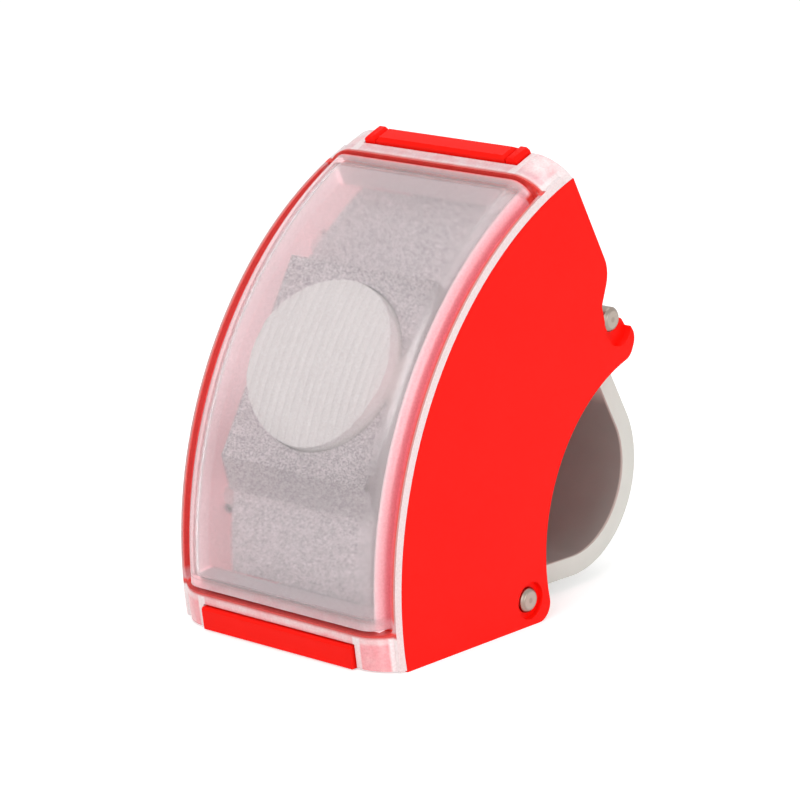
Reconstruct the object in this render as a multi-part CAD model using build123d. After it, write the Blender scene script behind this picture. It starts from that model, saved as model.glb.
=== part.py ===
"""Strap-on bicycle headlight with a curved translucent front, millimetres, +Z up.

The lamp stands on its flat base. Its front faces -Y, the handlebar seat faces +Y,
and X runs across the lamp. The side view is drawn in building coordinates (y, z),
where the front edges of the cheeks are an arc about FRONT_ARC; every finished
piece is then moved so that the origin is at the middle of the base of its box.
"""
import os
from math import asin, atan2, cos, degrees, hypot, radians, sin, sqrt

from build123d import *

# Overall body
WIDTH = 33.0                 # over the two cheeks
FRONT_R = 45.0               # front edge of the cheeks, an arc
FRONT_Y = -3.75              # its foremost point
FRONT_ARC_Y = FRONT_Y + FRONT_R
FRONT_ARC_Z = 9.5            # its centre's height over the base
REAR_SLOPE = 1.69            # drop for each millimetre that the rear edge runs back
CHEEK = 1.5                  # thickness of the side cheeks
WALL = 1.5                   # thickness of the web between the cheeks
SEAT_R = 21.25               # concave edge that seats on the handlebar
SEAT_FRONT_Y = 22.25         # its foremost point
SEAT_Y = SEAT_FRONT_Y + SEAT_R
SEAT_Z = 8.35                # its centre's height over the base
SEAT_LIP = 0.5               # cheeks stand this far proud of the web in the seat
HEEL_FILLET = 2.0

# Pins
PIN_R = 1.5
PIN_GAP = 0.05               # radial clearance of a pin in its holes
PIN_CHAMFER = 0.35
LOWER_PIN_Y = 19.4
LOWER_PIN_Z = 3.1
UPPER_PIN_Y = 34.5
UPPER_PIN_OVER_SEAT = 6.4
UPPER_PIN_Z = SEAT_Z + sqrt(SEAT_R**2 - (SEAT_Y - UPPER_PIN_Y) ** 2) + UPPER_PIN_OVER_SEAT
COUNTERBORE_R = 2.25
COUNTERBORE_DEPTH = 0.6

# Hook that holds the upper pin, at the low end of the straight rear edge
BULGE_Y = UPPER_PIN_Y - 0.846    # corner of the bulge above the hook
BULGE_Z = UPPER_PIN_Z + 6.1
BULGE_FILLET = 4.0
NECK_Y = UPPER_PIN_Y - 2.15      # inner corner between the bulge and the pin
NECK_Z = UPPER_PIN_Z + 2.0
NECK_FILLET = 0.8
PRONG_DROP = 10.0            # the slot's rear wall stops this angle below the pin's centre
PRONG_TOP = 1.2              # flat top of the prong
HOOK_TIP_Y = UPPER_PIN_Y + 4.6   # rearmost point of the prong
HOOK_HEEL = 1.0              # the prong's lower corner is this far in front of its tip
HOOK_ROOT_FILLET = 1.9
HOOK_TOP_FILLET = 0.9
HOOK_PAD = 1.6               # thickening inside each cheek behind the hook
HOOK_PAD_R = 5.0             # its reach
POCKET_DEPTH = 0.9           # shallow outer pocket round the hooked pin
POCKET_R = 2.15
POCKET_Y = UPPER_PIN_Y + 1.4
POCKET_Z = UPPER_PIN_Z - 1.3

# Strap
STRAP_WIDTH = 22.6
STRAP_T = 2.4
STRAP_LOOP_R = 10.85         # centre line of the round rear of the loop
STRAP_LOOP_Y = 34.2
STRAP_LOOP_Z = 13.7
STRAP_EYE_R = 2.85
EYE_GAP = 0.6                # web stays this far from the strap's eyes
WEDGE = 0.7                  # web left between the seat and the lower eye's pocket

# Translucent front cover: heights are measured outwards from the cheeks' edge
BAND_H = 3.0                 # end bands and corner blocks
BAND_CORNER_R = 5.0
LIP_H = 1.15                 # thin lips beside the window
LIP_T = 0.6
GROOVE_H = 0.4               # floor of the groove round the window
DOME_H = 2.8                 # raised window
DOME_HALF_W = 15.1
DOME_SHOULDER_R = 2.7        # rounding along the window's sides
COVER_T = 1.2
TONGUE_DEPTH = 1.5           # the cover reaches this far in between the cheeks
BAND_LOW_PHI = -6.0          # degrees up the arc where the window relief starts
BAND_L = 2.0                 # band between the window relief and the button
END_GAP = 0.4                # groove width at the window's ends
COVER_FOOT_Z = 0.2
BAND_EDGE_H = 0.1            # where the rounded shoulder meets the cover's side
LIP_SHORT = 1.85             # the lips stop this far short of the tip
RELIEF_CORNER_R = 1.0
CORNER_WALL = 1.0            # walls round the pockets behind the corner blocks
CORNER_ROOF_H = 1.6          # top of those pockets
RAIL_H = -0.3                # top of the cross rails that carry the cover's ends
RAIL_FOOT_H = -1.6
RAIL_L = 1.6                 # their width, centred under the grooves
FIT_GAP = 0.1                # between fixed mouldings

# Button in the top edge
BUTTON_HALF_W = 9.7
BUTTON_L = 3.2               # from its front foot along the arc to the tip
BUTTON_H = 3.7
BUTTON_TRAVEL = 0.8
CAP_GAP = 0.3                # left under the pressed cap
BUTTON_GAP = 0.2
BUTTON_CHAMFER = 0.35
TAB_HALF_W = 11.45           # outer edge of the tabs beside the button
NOTCH_GAP = 0.15             # between the tabs and the notch in the cover
BRIDGE_H = 0.9               # top of the bridge under the button
BRIDGE_T = 1.4
STEM_W = 5.0
STEM_D = 1.1
STEM_BACK = 0.71             # from the button's foot to the middle of the stem
stem_foot_h = -1.6
LEG_X = 7.5                  # snap legs that hold the button in
LEG_W = 1.2
LEG_BARB = 0.5
LEG_HEAD = 0.8
SEAL_W = 9.0
SEAL_D = 1.8
SEAL_T = 0.5
SEAL_CORNER_R = 0.4

# Charging flap in the lower edge
LIP_TOP_Z = 2.95             # top of the flap's finger lip
LIP_FRONT_H = 3.55
FLAP_LIP_T = 1.6
FLAP_T = 1.1
FLAP_FOOT_Z = 0.15
FLAP_PIN_Y = 4.6
FLAP_PIN_Z = 1.05
FLAP_PIN_R = 0.5
FLAP_KNUCKLE_R = 0.9
FLAP_PIN_SEAT = 1.6          # length of the hinge pin in each side of the floor
PLUG_PAD_W = 12.0
PLUG_PAD_D = 4.0
PLUG_PAD_T = 0.7
PLUG_W = 7.2
PLUG_D = 1.5
PLUG_L = 0.7
FLOOR_Z = 2.1                # underside of the floor above the flap
FLOOR_T = 1.2

# Light engine, placed along the radius through the optic's axis
OPTIC_Z = 31.932             # height of the optic's axis on the cheeks' front edge
OPTIC_PHI = degrees(asin((OPTIC_Z - FRONT_ARC_Z) / FRONT_R))
OPTIC_R = 10.0
OPTIC_FRONT_H = 1.3
OPTIC_FLANGE_T = 1.6
OPTIC_DEPTH = 9.4
OPTIC_CONE_R = 9.2
OPTIC_NECK_R = 3.6
FLUTE_PITCH = 1.15
FLUTE_DEPTH = 0.22
FLUTE_FLAT = (-0.22, 0.22)   # crest of each flute, in pitches from its middle
OPTIC_BULGE = 0.9            # how far the cone swells past a straight one
LED_CAVITY_R = 2.6
LED_CAVITY_L = 3.0
HOLDER_T = 0.7
LED_W = 3.45
LED_T = 0.7
LED_DOME_R = 1.25
LED_BOARD_R = 10.0
LED_BOARD_T = 1.6
SPREADER_L = 24.0
SPREADER_T = 2.0
FIN_N = 5
FIN_PITCH = 4.0
BOSS_W = 2.6                 # screw bosses on the cheeks
BOSS_L = 5.0
BOSS_T = 15.6                # their distance along the arc from the optic's axis
SCREW_R = 0.8
SCREW_L = 5.0
SCREW_HEAD_R = 1.3
SCREW_HEAD_T = 0.8
BOARD_SIDE_GAP = 3.0         # boards stay this far from the cheeks
BOARD_L = 27.0
BOARD_T = 1.0
PART_T = 1.4                 # tallest component on the main board
PAD_T = 0.8
CELL_W = 20.0
CELL_L = 30.0
CELL_T = 7.0
CELL_DROP = 3.0              # the cell sits this far below the optic's axis
CELL_FILLET = 1.5
BOARD_PARTS = (              # x, height on the board, width and length of each
    (-5.5, 6.0, 5.0, 5.0),
    (4.5, 7.0, 6.0, 6.0),
    (-6.5, -5.0, 3.2, 1.6),
    (6.0, -4.0, 4.0, 3.0),
    (0.0, -9.0, 2.0, 1.3),
)

# Inner mask round the optic
MASK_H = -1.4                # front of the mask
MASK_T = 0.8
MASK_HALF_W = 10.9
MASK_CHAMFER = 0.7           # along its sides
MASK_FOOT_H = -4.4           # back of its side walls
PAD_H = -1.0                 # flat pad round the optic, at the optic's axis
PAD_BELOW = 12.6             # its length under the optic's axis
PAD_OVER = 12.0              # and over it
PAD_RAMP_L = 4.0             # length of the ramp under the pad

# Charging socket and its board
SOCKET_W = 8.95
SOCKET_D = 3.25
SOCKET_L = 7.3
SOCKET_WALL = 0.3
SOCKET_Y = 1.3
CHARGE_BOARD_T = 0.8
CHARGE_BOARD_L = 7.2
CHARGE_BOARD_W = 15.0
TONGUE_W = 6.7
TONGUE_T = 0.7
TONGUE_L = 5.5

# Switch under the button
SWITCH_W = 4.0
SWITCH_D = 3.0
SWITCH_SHIFT = -0.3          # the switch sits this far off the stem's centre
SWITCH_T = 1.6
PLUNGER_R = 0.9
SWITCH_BOARD_W = 12.0
SWITCH_BOARD_T = 0.8
SWITCH_BOARD_D = 4.6
SWITCH_BOARD_SHIFT = -0.9    # and its board this far
PLUNGER_PROUD = 0.9
PLUNGER_SUNK = 0.4

half_w = WIDTH / 2
inner_w = half_w - CHEEK
board_w = 2 * (inner_w - BOARD_SIDE_GAP)
optic_back_h = OPTIC_FRONT_H - OPTIC_DEPTH
led_board_front_h = optic_back_h - LED_T - FIT_GAP
frame_back_h = led_board_front_h - LED_BOARD_T
board_front_h = frame_back_h - SPREADER_T
cell_back_h = board_front_h - BOARD_T - PART_T - PAD_T - CELL_T
switch_top_h = stem_foot_h - PLUNGER_PROUD
plunger_foot_h = switch_top_h - PLUNGER_SUNK
switch_board_back_h = switch_top_h - SWITCH_T - SWITCH_BOARD_T
cap_foot_h = BRIDGE_H + BUTTON_TRAVEL + CAP_GAP
front_reach = FRONT_ARC_Y - FRONT_R - BAND_CORNER_R  # in front of every piece


def rear_line_y(z):
    """Straight rear edge of the body, and the cut end of the cover."""
    return BULGE_Y + (BULGE_Z - z) / REAR_SLOPE


def rear_line_at(height):
    """Point where the straight rear edge crosses the arc at a height off the cheeks."""
    run = 1 / REAR_SLOPE
    start_y = rear_line_y(0) - FRONT_ARC_Y
    rho = FRONT_R + height
    a = 1 + run**2
    b = -2 * (start_y * run + FRONT_ARC_Z)
    c = start_y**2 + FRONT_ARC_Z**2 - rho**2
    z = (-b + sqrt(b**2 - 4 * a * c)) / (2 * a)
    return (rear_line_y(z), z)


def rear_phi(height):
    """Angle up the arc at which the straight rear edge crosses a height."""
    y, z = rear_line_at(height)
    return degrees(atan2(z - FRONT_ARC_Z, FRONT_ARC_Y - y))


def arc_degrees(length, height=0.0):
    """Angle that a length along the arc takes up at a height."""
    return degrees(length / (FRONT_R + height))


tip_phi = rear_phi(0)
end_phi = tip_phi + arc_degrees(2 * WALL)    # past the rear edge, where pieces are cut off
button_phi = tip_phi - arc_degrees(BUTTON_L)
stem_phi = button_phi + arc_degrees(STEM_BACK)
band_high_phi = button_phi - arc_degrees(BAND_L)
lip_end_phi = tip_phi - arc_degrees(LIP_SHORT)
hollow_gap = arc_degrees(END_GAP + COVER_T)
mask_low_phi = BAND_LOW_PHI + hollow_gap + arc_degrees(FIT_GAP)
mask_high_phi = band_high_phi - hollow_gap - arc_degrees(FIT_GAP)


def arc_point(phi, height):
    """Side-view point at an angle up the front arc and a height off the cheeks."""
    rho = FRONT_R + height
    return (FRONT_ARC_Y - rho * cos(radians(phi)), FRONT_ARC_Z + rho * sin(radians(phi)))


def arc_point_at_z(z, height):
    """Depth of the arc at a height off the cheeks, for a level near the base."""
    return FRONT_ARC_Y - sqrt((FRONT_R + height) ** 2 - (FRONT_ARC_Z - z) ** 2)


def side_solid(face, x_low, x_high):
    """Extrude a side-view face between two places across the lamp."""
    return Pos(x_low, 0, 0) * extrude(Plane.YZ * face, amount=x_high - x_low)


def both_sides(solid):
    """A solid on the +X side together with its mirror image."""
    return solid + mirror(solid, about=Plane.YZ)


def section_plane(phi):
    """Plane through the arc's axis; its second direction points out along phi."""
    return Plane(
        origin=(0, FRONT_ARC_Y, FRONT_ARC_Z),
        x_dir=(1, 0, 0),
        z_dir=(0, -sin(radians(phi)), -cos(radians(phi))),
    )


def radial_plane(phi, height):
    """Plane square to the radius at phi; its normal points out of the lamp."""
    y, z = arc_point(phi, height)
    return Plane(
        origin=(0, y, z),
        x_dir=(1, 0, 0),
        z_dir=(0, -cos(radians(phi)), sin(radians(phi))),
    )


def ring(face, phi_low, phi_high):
    """Revolve a section drawn in (x, radius) from one angle to another."""
    axis = Axis((0, FRONT_ARC_Y, FRONT_ARC_Z), (-1, 0, 0))
    return revolve(section_plane(phi_low) * face, axis=axis, revolution_arc=phi_high - phi_low)


def ring_box(x_half, low_h, high_h, phi_low, phi_high):
    """Curved block of constant width between two heights."""
    middle = FRONT_R + (low_h + high_h) / 2
    face = Pos(0, middle) * Rectangle(2 * x_half, high_h - low_h)
    return ring(face, phi_low, phi_high)


def line_face(*points):
    """Closed face through side-view points."""
    return make_face(Polyline(*points, close=True))


def cheek_outline():
    """Side view of a cheek with its front arc, seat, hook and rear edge."""
    toe_y = FRONT_ARC_Y - sqrt(FRONT_R**2 - FRONT_ARC_Z**2)
    heel_y = SEAT_Y - sqrt(SEAT_R**2 - SEAT_Z**2)
    slot_w = PIN_R + PIN_GAP
    prong_z = UPPER_PIN_Z - slot_w * sin(radians(PRONG_DROP))
    prong_y = UPPER_PIN_Y + slot_w * cos(radians(PRONG_DROP))
    hook_low_y = HOOK_TIP_Y - HOOK_HEEL
    hook_low_z = SEAT_Z + sqrt(SEAT_R**2 - (SEAT_Y - hook_low_y) ** 2)
    hook_mid_z = (prong_z + hook_low_z) / 2
    tip = rear_line_at(0)
    edges = [
        ThreePointArc((toe_y, 0), arc_point(tip_phi / 2, 0), tip),
        Line(tip, (BULGE_Y, BULGE_Z)),
        Line((BULGE_Y, BULGE_Z), (NECK_Y, NECK_Z)),
        Line((NECK_Y, NECK_Z), (UPPER_PIN_Y - slot_w, UPPER_PIN_Z)),
        ThreePointArc(
            (UPPER_PIN_Y - slot_w, UPPER_PIN_Z),
            (UPPER_PIN_Y, UPPER_PIN_Z - slot_w),
            (prong_y, prong_z),
        ),
        Line((prong_y, prong_z), (prong_y + PRONG_TOP, prong_z)),
        Line((prong_y + PRONG_TOP, prong_z), (HOOK_TIP_Y, hook_mid_z)),
        Line((HOOK_TIP_Y, hook_mid_z), (hook_low_y, hook_low_z)),
        ThreePointArc(
            (hook_low_y, hook_low_z),
            (SEAT_Y - SEAT_R * cos(radians(25)), SEAT_Z + SEAT_R * sin(radians(25))),
            (heel_y, 0),
        ),
        Line((heel_y, 0), (toe_y, 0)),
    ]
    face = make_face(edges)
    rounding = [
        ((BULGE_Y, BULGE_Z), BULGE_FILLET),
        ((NECK_Y, NECK_Z), NECK_FILLET),
        ((prong_y + PRONG_TOP, prong_z), HOOK_TOP_FILLET),
        ((HOOK_TIP_Y, hook_mid_z), HOOK_ROOT_FILLET),
        ((hook_low_y, hook_low_z), HOOK_ROOT_FILLET),
        ((heel_y, 0), HEEL_FILLET),
    ]
    for place, radius in rounding:
        corner = face.vertices().sort_by_distance((*place, 0))[0]
        face = fillet(corner, radius)
    return face


def outer_face(solid):
    """Face that lies furthest from the arc's axis."""
    axis_point = Vector(0, FRONT_ARC_Y, FRONT_ARC_Z)

    def reach(face):
        spot = face.position_at(0.5, 0.5) - axis_point
        return hypot(spot.Y, spot.Z)

    return solid.faces().sort_by(reach)[-1]


def curved_block(x_half, low_h, high_h, phi_low, phi_high, corner):
    """Block on the arc whose four corners are rounded as seen from the front."""
    block = ring_box(x_half, low_h, high_h, phi_low, phi_high)
    axis_dir = Vector(1, 0, 0)
    ends = [
        edge
        for edge in block.edges().filter_by(GeomType.LINE)
        if abs(edge.tangent_at(0.5).dot(axis_dir)) < 0.1
    ]
    return fillet(ends, corner)


def arc_disc(height):
    """Everything nearer the arc's axis than a height."""
    disc = Rot(0, 90, 0) * Cylinder(FRONT_R + height, 2 * WIDTH)
    return Pos(0, FRONT_ARC_Y, FRONT_ARC_Z) * disc


def behind_rear_line():
    """Everything behind the straight rear edge, near the top of the lamp."""
    low_z = FRONT_ARC_Z + FRONT_R - 4 * BAND_CORNER_R
    high_z = FRONT_ARC_Z + FRONT_R + 4 * BAND_CORNER_R
    face = line_face(
        (rear_line_y(low_z), low_z),
        (rear_line_y(high_z), high_z),
        (FRONT_ARC_Y + FRONT_R, high_z),
        (FRONT_ARC_Y + FRONT_R, low_z),
    )
    return side_solid(face, -WIDTH, WIDTH)


def rod(y, z, radius, x_low, x_high):
    """Round bar across the lamp."""
    return side_solid(Pos(y, z) * Circle(radius), x_low, x_high)


def web_outline():
    """Side view of the moulding between the cheeks, running on past its open front."""
    seat_r = SEAT_R + SEAT_LIP
    pocket_r = STRAP_EYE_R + EYE_GAP
    back_y = UPPER_PIN_Y - pocket_r
    back_top_z = BULGE_Z - (back_y - BULGE_Y) * REAR_SLOPE
    seat_top_z = SEAT_Z + sqrt(seat_r**2 - (SEAT_Y - back_y) ** 2)
    seat_low_z = LOWER_PIN_Z + pocket_r + WEDGE
    seat_low_y = SEAT_Y - sqrt(seat_r**2 - (SEAT_Z - seat_low_z) ** 2)
    foot_angle = 180 + degrees(asin(LOWER_PIN_Z / pocket_r))
    front = FRONT_ARC_Y - FRONT_R - 2 * BAND_CORNER_R
    top = FRONT_ARC_Z + FRONT_R + 2 * BAND_CORNER_R

    def pocket_point(angle):
        return (
            LOWER_PIN_Y + pocket_r * cos(radians(angle)),
            LOWER_PIN_Z + pocket_r * sin(radians(angle)),
        )

    def seat_point(angle):
        return (SEAT_Y + seat_r * cos(radians(angle)), SEAT_Z + seat_r * sin(radians(angle)))

    return make_face(
        [
            Line((front, 0), (front, top)),
            Line((front, top), (rear_line_y(top), top)),
            Line((rear_line_y(top), top), (back_y, back_top_z)),
            Line((back_y, back_top_z), (back_y, seat_top_z)),
            ThreePointArc((back_y, seat_top_z), seat_point(150), (seat_low_y, seat_low_z)),
            Line((seat_low_y, seat_low_z), pocket_point(60)),
            ThreePointArc(pocket_point(60), pocket_point(150), pocket_point(foot_angle)),
            Line(pocket_point(foot_angle), (front, 0)),
        ]
    )


def hook_pocket():
    """Shallow pocket in the cheek's outer face below and behind the hooked pin."""
    run_y = UPPER_PIN_Y - POCKET_Y
    run_z = UPPER_PIN_Z - POCKET_Z
    reach = hypot(run_y, run_z)
    lane = Rot(0, 0, degrees(atan2(run_z, run_y))) * Pos(reach / 2, 0)
    face = Pos(POCKET_Y, POCKET_Z) * (Circle(POCKET_R) + lane * Rectangle(reach, 2 * POCKET_R))
    return side_solid(face, half_w - POCKET_DEPTH, half_w + POCKET_DEPTH)


def cheek():
    """The +X cheek with its hook, pads, pin hole, counterbore and pocket."""
    outline = cheek_outline()
    plate = side_solid(outline, inner_w, half_w)
    hook_zone = Pos(POCKET_Y, POCKET_Z) * Circle(HOOK_PAD_R)
    plate += side_solid(outline & hook_zone, inner_w - HOOK_PAD, inner_w)
    heel_zone = Pos(LOWER_PIN_Y, LOWER_PIN_Z) * Circle(STRAP_EYE_R)
    plate += side_solid(outline & heel_zone, inner_w - HOOK_PAD, inner_w)
    plate -= rod(LOWER_PIN_Y, LOWER_PIN_Z, PIN_R + PIN_GAP, 0, WIDTH)
    plate -= rod(LOWER_PIN_Y, LOWER_PIN_Z, COUNTERBORE_R, half_w - COUNTERBORE_DEPTH, WIDTH)
    return plate - hook_pocket()


def flap_recess_rear():
    """Rear wall of the recess that holds the flap and its knuckle."""
    return FLAP_PIN_Y + FLAP_KNUCKLE_R + 2 * BUTTON_GAP


def side_box(y_low, y_high, z_low, z_high, x_half):
    """Block between two depths, two levels and +-x_half."""
    face = line_face((y_low, z_low), (y_low, z_high), (y_high, z_high), (y_high, z_low))
    return side_solid(face, -x_half, x_half)


def flap_recess():
    """Room under the floor for the flap and its knuckle."""
    return side_box(front_reach, flap_recess_rear(), -WALL, FLOOR_Z, TAB_HALF_W + NOTCH_GAP)


def floor_block():
    """Floor above the flap with its recess and socket opening."""
    rear = flap_recess_rear() + FLOOR_T
    slab = side_box(front_reach, rear, 0, FLOOR_Z + FLOOR_T, inner_w)
    slab &= arc_disc(-TONGUE_DEPTH - FIT_GAP)
    slab -= flap_recess()
    return slab - Pos(0, SOCKET_Y, FLOOR_Z) * socket_block(FIT_GAP, 4 * FLOOR_T)


def flap_pin_half():
    """Half the length of the flap's hinge pin."""
    return TAB_HALF_W + FLAP_PIN_SEAT


def socket_block(gap, height):
    """Block with the charging socket's rounded section, grown by a gap."""
    width, depth = SOCKET_W + 2 * gap, SOCKET_D + 2 * gap
    return extrude(RectangleRounded(width, depth, depth / 2 - SOCKET_WALL), amount=height, both=True)


def trimmed_top(solid):
    """Cut a piece of the top edge off along the straight rear edge."""
    return solid - behind_rear_line()


def bridge():
    """Bridge under the button, the wall behind it and the two tabs beside it."""
    plate = ring_box(TAB_HALF_W, BRIDGE_H - BRIDGE_T, BRIDGE_H, button_phi, end_phi)
    inner_edge = BUTTON_HALF_W + BUTTON_GAP
    tab_foot = FRONT_R + BRIDGE_H - BRIDGE_T
    tab_top = FRONT_R + BUTTON_H
    tab_face = line_face(
        (inner_edge, tab_foot),
        (inner_edge, tab_top - BUTTON_CHAMFER),
        (inner_edge + BUTTON_CHAMFER, tab_top),
        (TAB_HALF_W - BUTTON_CHAMFER, tab_top),
        (TAB_HALF_W, tab_top - BUTTON_CHAMFER),
        (TAB_HALF_W, tab_foot),
    )
    tab = trimmed_top(ring(tab_face, button_phi, end_phi))
    wall = side_solid(web_outline() - offset(web_outline(), -WALL), -TAB_HALF_W, TAB_HALF_W)
    wall &= ring_box(TAB_HALF_W, -2 * TONGUE_DEPTH, BRIDGE_H, button_phi, end_phi)
    block = trimmed_top(plate) + wall + both_sides(tab)
    stem_hole = Box(STEM_W + 2 * BUTTON_GAP, STEM_D + 2 * BUTTON_GAP, 4 * BRIDGE_T)
    leg_hole = Box(LEG_W + 2 * BUTTON_GAP, STEM_D + 2 * BUTTON_GAP, 4 * BRIDGE_T)
    block -= button_plane(BRIDGE_H) * stem_hole
    for side in (-1, 1):
        block -= button_plane(BRIDGE_H) * Pos(side * LEG_X, 0, 0) * leg_hole
    return block


def button_plane(height):
    """Plane square to the button's travel, at a height off the cheeks."""
    return radial_plane(stem_phi, height)


def engine_plane(height):
    """Plane square to the optic's axis, at a height off the cheeks."""
    return radial_plane(OPTIC_PHI, height)


def cell_bed():
    """Two ribs that fill from the rear web to the back of the cell."""
    ribs = []
    inside = offset(web_outline(), -WALL)
    y, z = arc_point(OPTIC_PHI, cell_back_h)
    tilt = 90 - OPTIC_PHI
    bed = Rectangle(CELL_L - 2 * CELL_FILLET, 2 * CELL_T)
    bed = Pos(y, z) * Rot(0, 0, tilt) * Pos(-CELL_DROP, -CELL_T) * bed
    face = inside & bed
    for x in (-CELL_W / 4, CELL_W / 4):
        ribs.append(side_solid(face, x - WALL / 2, x + WALL / 2))
    return ribs[0] + ribs[1]


def frame_bosses():
    """Four bosses on the cheeks' inner faces that take the frame's screws."""
    bosses = None
    for side in (-1, 1):
        for end in (-1, 1):
            x = side * (inner_w - BOSS_W / 2)
            boss = engine_plane(frame_back_h - BOSS_L / 2) * Pos(x, end * BOSS_T, 0) * Box(
                BOSS_W, BOSS_W + WALL, BOSS_L
            )
            bosses = boss if bosses is None else bosses + boss
    return bosses - screw_places(SCREW_R, BOSS_L)


def screw_places(radius, length):
    """Four cylinders on the frame's screw axes, running back from the frame."""
    shafts = None
    for side in (-1, 1):
        for end in (-1, 1):
            x = side * (inner_w - BOSS_W / 2)
            shaft = engine_plane(frame_back_h) * Pos(x, end * BOSS_T, 0) * Cylinder(radius, 2 * length)
            shafts = shaft if shafts is None else shafts + shaft
    return shafts


def switch_shelf():
    """Shelf on the rear web that carries the switch board."""
    top = switch_board_back_h
    shelf = button_plane(top - WALL / 2) * Pos(0, SWITCH_BOARD_T, 0) * Box(
        SWITCH_BOARD_W, SWITCH_BOARD_D + 2 * SWITCH_BOARD_T, WALL
    )
    inside = side_solid(web_outline(), -inner_w, inner_w)
    return shelf & inside


def cover_rails(foot_h, gap=0.0):
    """Cross rails from cheek to cheek under the grooves at the window's ends, grown by a gap."""
    reach = arc_degrees(RAIL_L / 2 + gap)
    middle = arc_degrees(END_GAP / 2)
    rails = []
    for phi in (BAND_LOW_PHI + middle, band_high_phi - middle):
        rails.append(ring_box(inner_w + CHEEK / 2, foot_h, RAIL_H + gap, phi - reach, phi + reach))
    return rails[0] + rails[1]


def housing():
    """Cheeks, web, floor, bridge, rails, ribs and bosses as one moulding."""
    outline = web_outline()
    web = side_solid(outline - offset(outline, -WALL), -inner_w, inner_w)
    web &= arc_disc(-TONGUE_DEPTH - FIT_GAP)
    web -= flap_recess()
    body = web + floor_block() + bridge() + cell_bed() + frame_bosses() + switch_shelf()
    body -= rod(FLAP_PIN_Y, FLAP_PIN_Z, FLAP_PIN_R + PIN_GAP, -flap_pin_half(), flap_pin_half())
    return body + cover_rails(RAIL_FOOT_H) + both_sides(cheek())


def cover_section():
    """Full section of the cover in (x, radius): tongue, seats and rounded shoulders."""
    drop = BAND_CORNER_R - BAND_H + BAND_EDGE_H
    flat_x = half_w - sqrt(BAND_CORNER_R**2 - drop**2)
    arc_low = FRONT_R + BAND_H - BAND_CORNER_R
    mid = radians((90 + degrees(asin(drop / BAND_CORNER_R))) / 2)
    mid_point = (flat_x + BAND_CORNER_R * cos(mid), arc_low + BAND_CORNER_R * sin(mid))
    tongue_x = inner_w - FIT_GAP
    low = FRONT_R - TONGUE_DEPTH
    half = [
        Line((0, low), (tongue_x, low)),
        Line((tongue_x, low), (tongue_x, FRONT_R)),
        Line((tongue_x, FRONT_R), (half_w, FRONT_R)),
        Line((half_w, FRONT_R), (half_w, FRONT_R + BAND_EDGE_H)),
        ThreePointArc((half_w, FRONT_R + BAND_EDGE_H), mid_point, (flat_x, FRONT_R + BAND_H)),
        Line((flat_x, FRONT_R + BAND_H), (0, FRONT_R + BAND_H)),
        Line((0, FRONT_R + BAND_H), (0, low)),
    ]
    face = make_face(half)
    return face + mirror(face, about=Plane.YZ)


def window_section(shrink, low_h):
    """Section of the raised window in (x, radius), drawn smaller by a wall."""
    top_h = DOME_H - shrink
    face = Rectangle(2 * (DOME_HALF_W - shrink), top_h - low_h)
    face = fillet(face.vertices().group_by(Axis.Y)[-1], DOME_SHOULDER_R - shrink)
    return Pos(0, FRONT_R + (top_h + low_h) / 2) * face


def corner_pocket(phi_low, phi_high):
    """Pocket behind a corner block, open to the inside of the lamp."""
    x_low = TAB_HALF_W + NOTCH_GAP + CORNER_WALL
    x_high = inner_w - FIT_GAP - CORNER_WALL
    low, high = FRONT_R - 2 * TONGUE_DEPTH, FRONT_R + CORNER_ROOF_H
    face = Pos((x_low + x_high) / 2, (low + high) / 2) * Rectangle(x_high - x_low, high - low)
    return ring(face, phi_low, phi_high)


def lens_cover():
    """Translucent front: end bands, corner blocks, lips and the raised window."""
    foot_phi = -degrees(asin((FRONT_ARC_Z + BAND_CORNER_R) / FRONT_R))
    shell = ring(cover_section(), foot_phi, end_phi)
    lip_face = Pos(half_w - LIP_T / 2, FRONT_R + LIP_H / 2) * Rectangle(LIP_T, LIP_H)
    shell += both_sides(ring(lip_face, foot_phi, lip_end_phi))
    relief_low = BAND_LOW_PHI
    relief_high = band_high_phi
    top = BAND_H + BAND_CORNER_R
    shell -= curved_block(half_w - LIP_T, GROOVE_H, top, relief_low, relief_high, RELIEF_CORNER_R)
    shell -= ring_box(WIDTH, LIP_H, top, relief_low, relief_high)
    gap = arc_degrees(END_GAP)
    shell += ring(window_section(0, 0), relief_low + gap, relief_high - gap)
    hollow = window_section(COVER_T, -2 * TONGUE_DEPTH)
    shell -= ring(hollow, relief_low + hollow_gap, relief_high - hollow_gap)
    shell -= cover_rails(-2 * TONGUE_DEPTH, FIT_GAP)
    wall = arc_degrees(CORNER_WALL)
    foot_wall_phi = -degrees(asin((FRONT_ARC_Z - COVER_FOOT_Z - CORNER_WALL) / FRONT_R))
    shell -= both_sides(corner_pocket(foot_wall_phi, relief_low - wall))
    shell -= both_sides(corner_pocket(relief_high + wall, lip_end_phi))
    notch_w = TAB_HALF_W + NOTCH_GAP
    notch_phi = button_phi - arc_degrees(NOTCH_GAP)
    shell -= ring_box(notch_w, -2 * TONGUE_DEPTH, top, notch_phi, end_phi + 1)
    seal_room = Box(SEAL_W + 2 * FIT_GAP, SEAL_D + 2 * FIT_GAP, 2 * TONGUE_DEPTH)
    shell -= button_plane(-TONGUE_DEPTH) * seal_room
    shell = trimmed_top(shell)
    deep = 4 * BAND_CORNER_R
    shell -= side_box(front_reach, deep, -deep, LIP_TOP_Z + NOTCH_GAP, notch_w)
    return shell - side_box(front_reach, deep, -deep, COVER_FOOT_Z, WIDTH)


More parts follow.
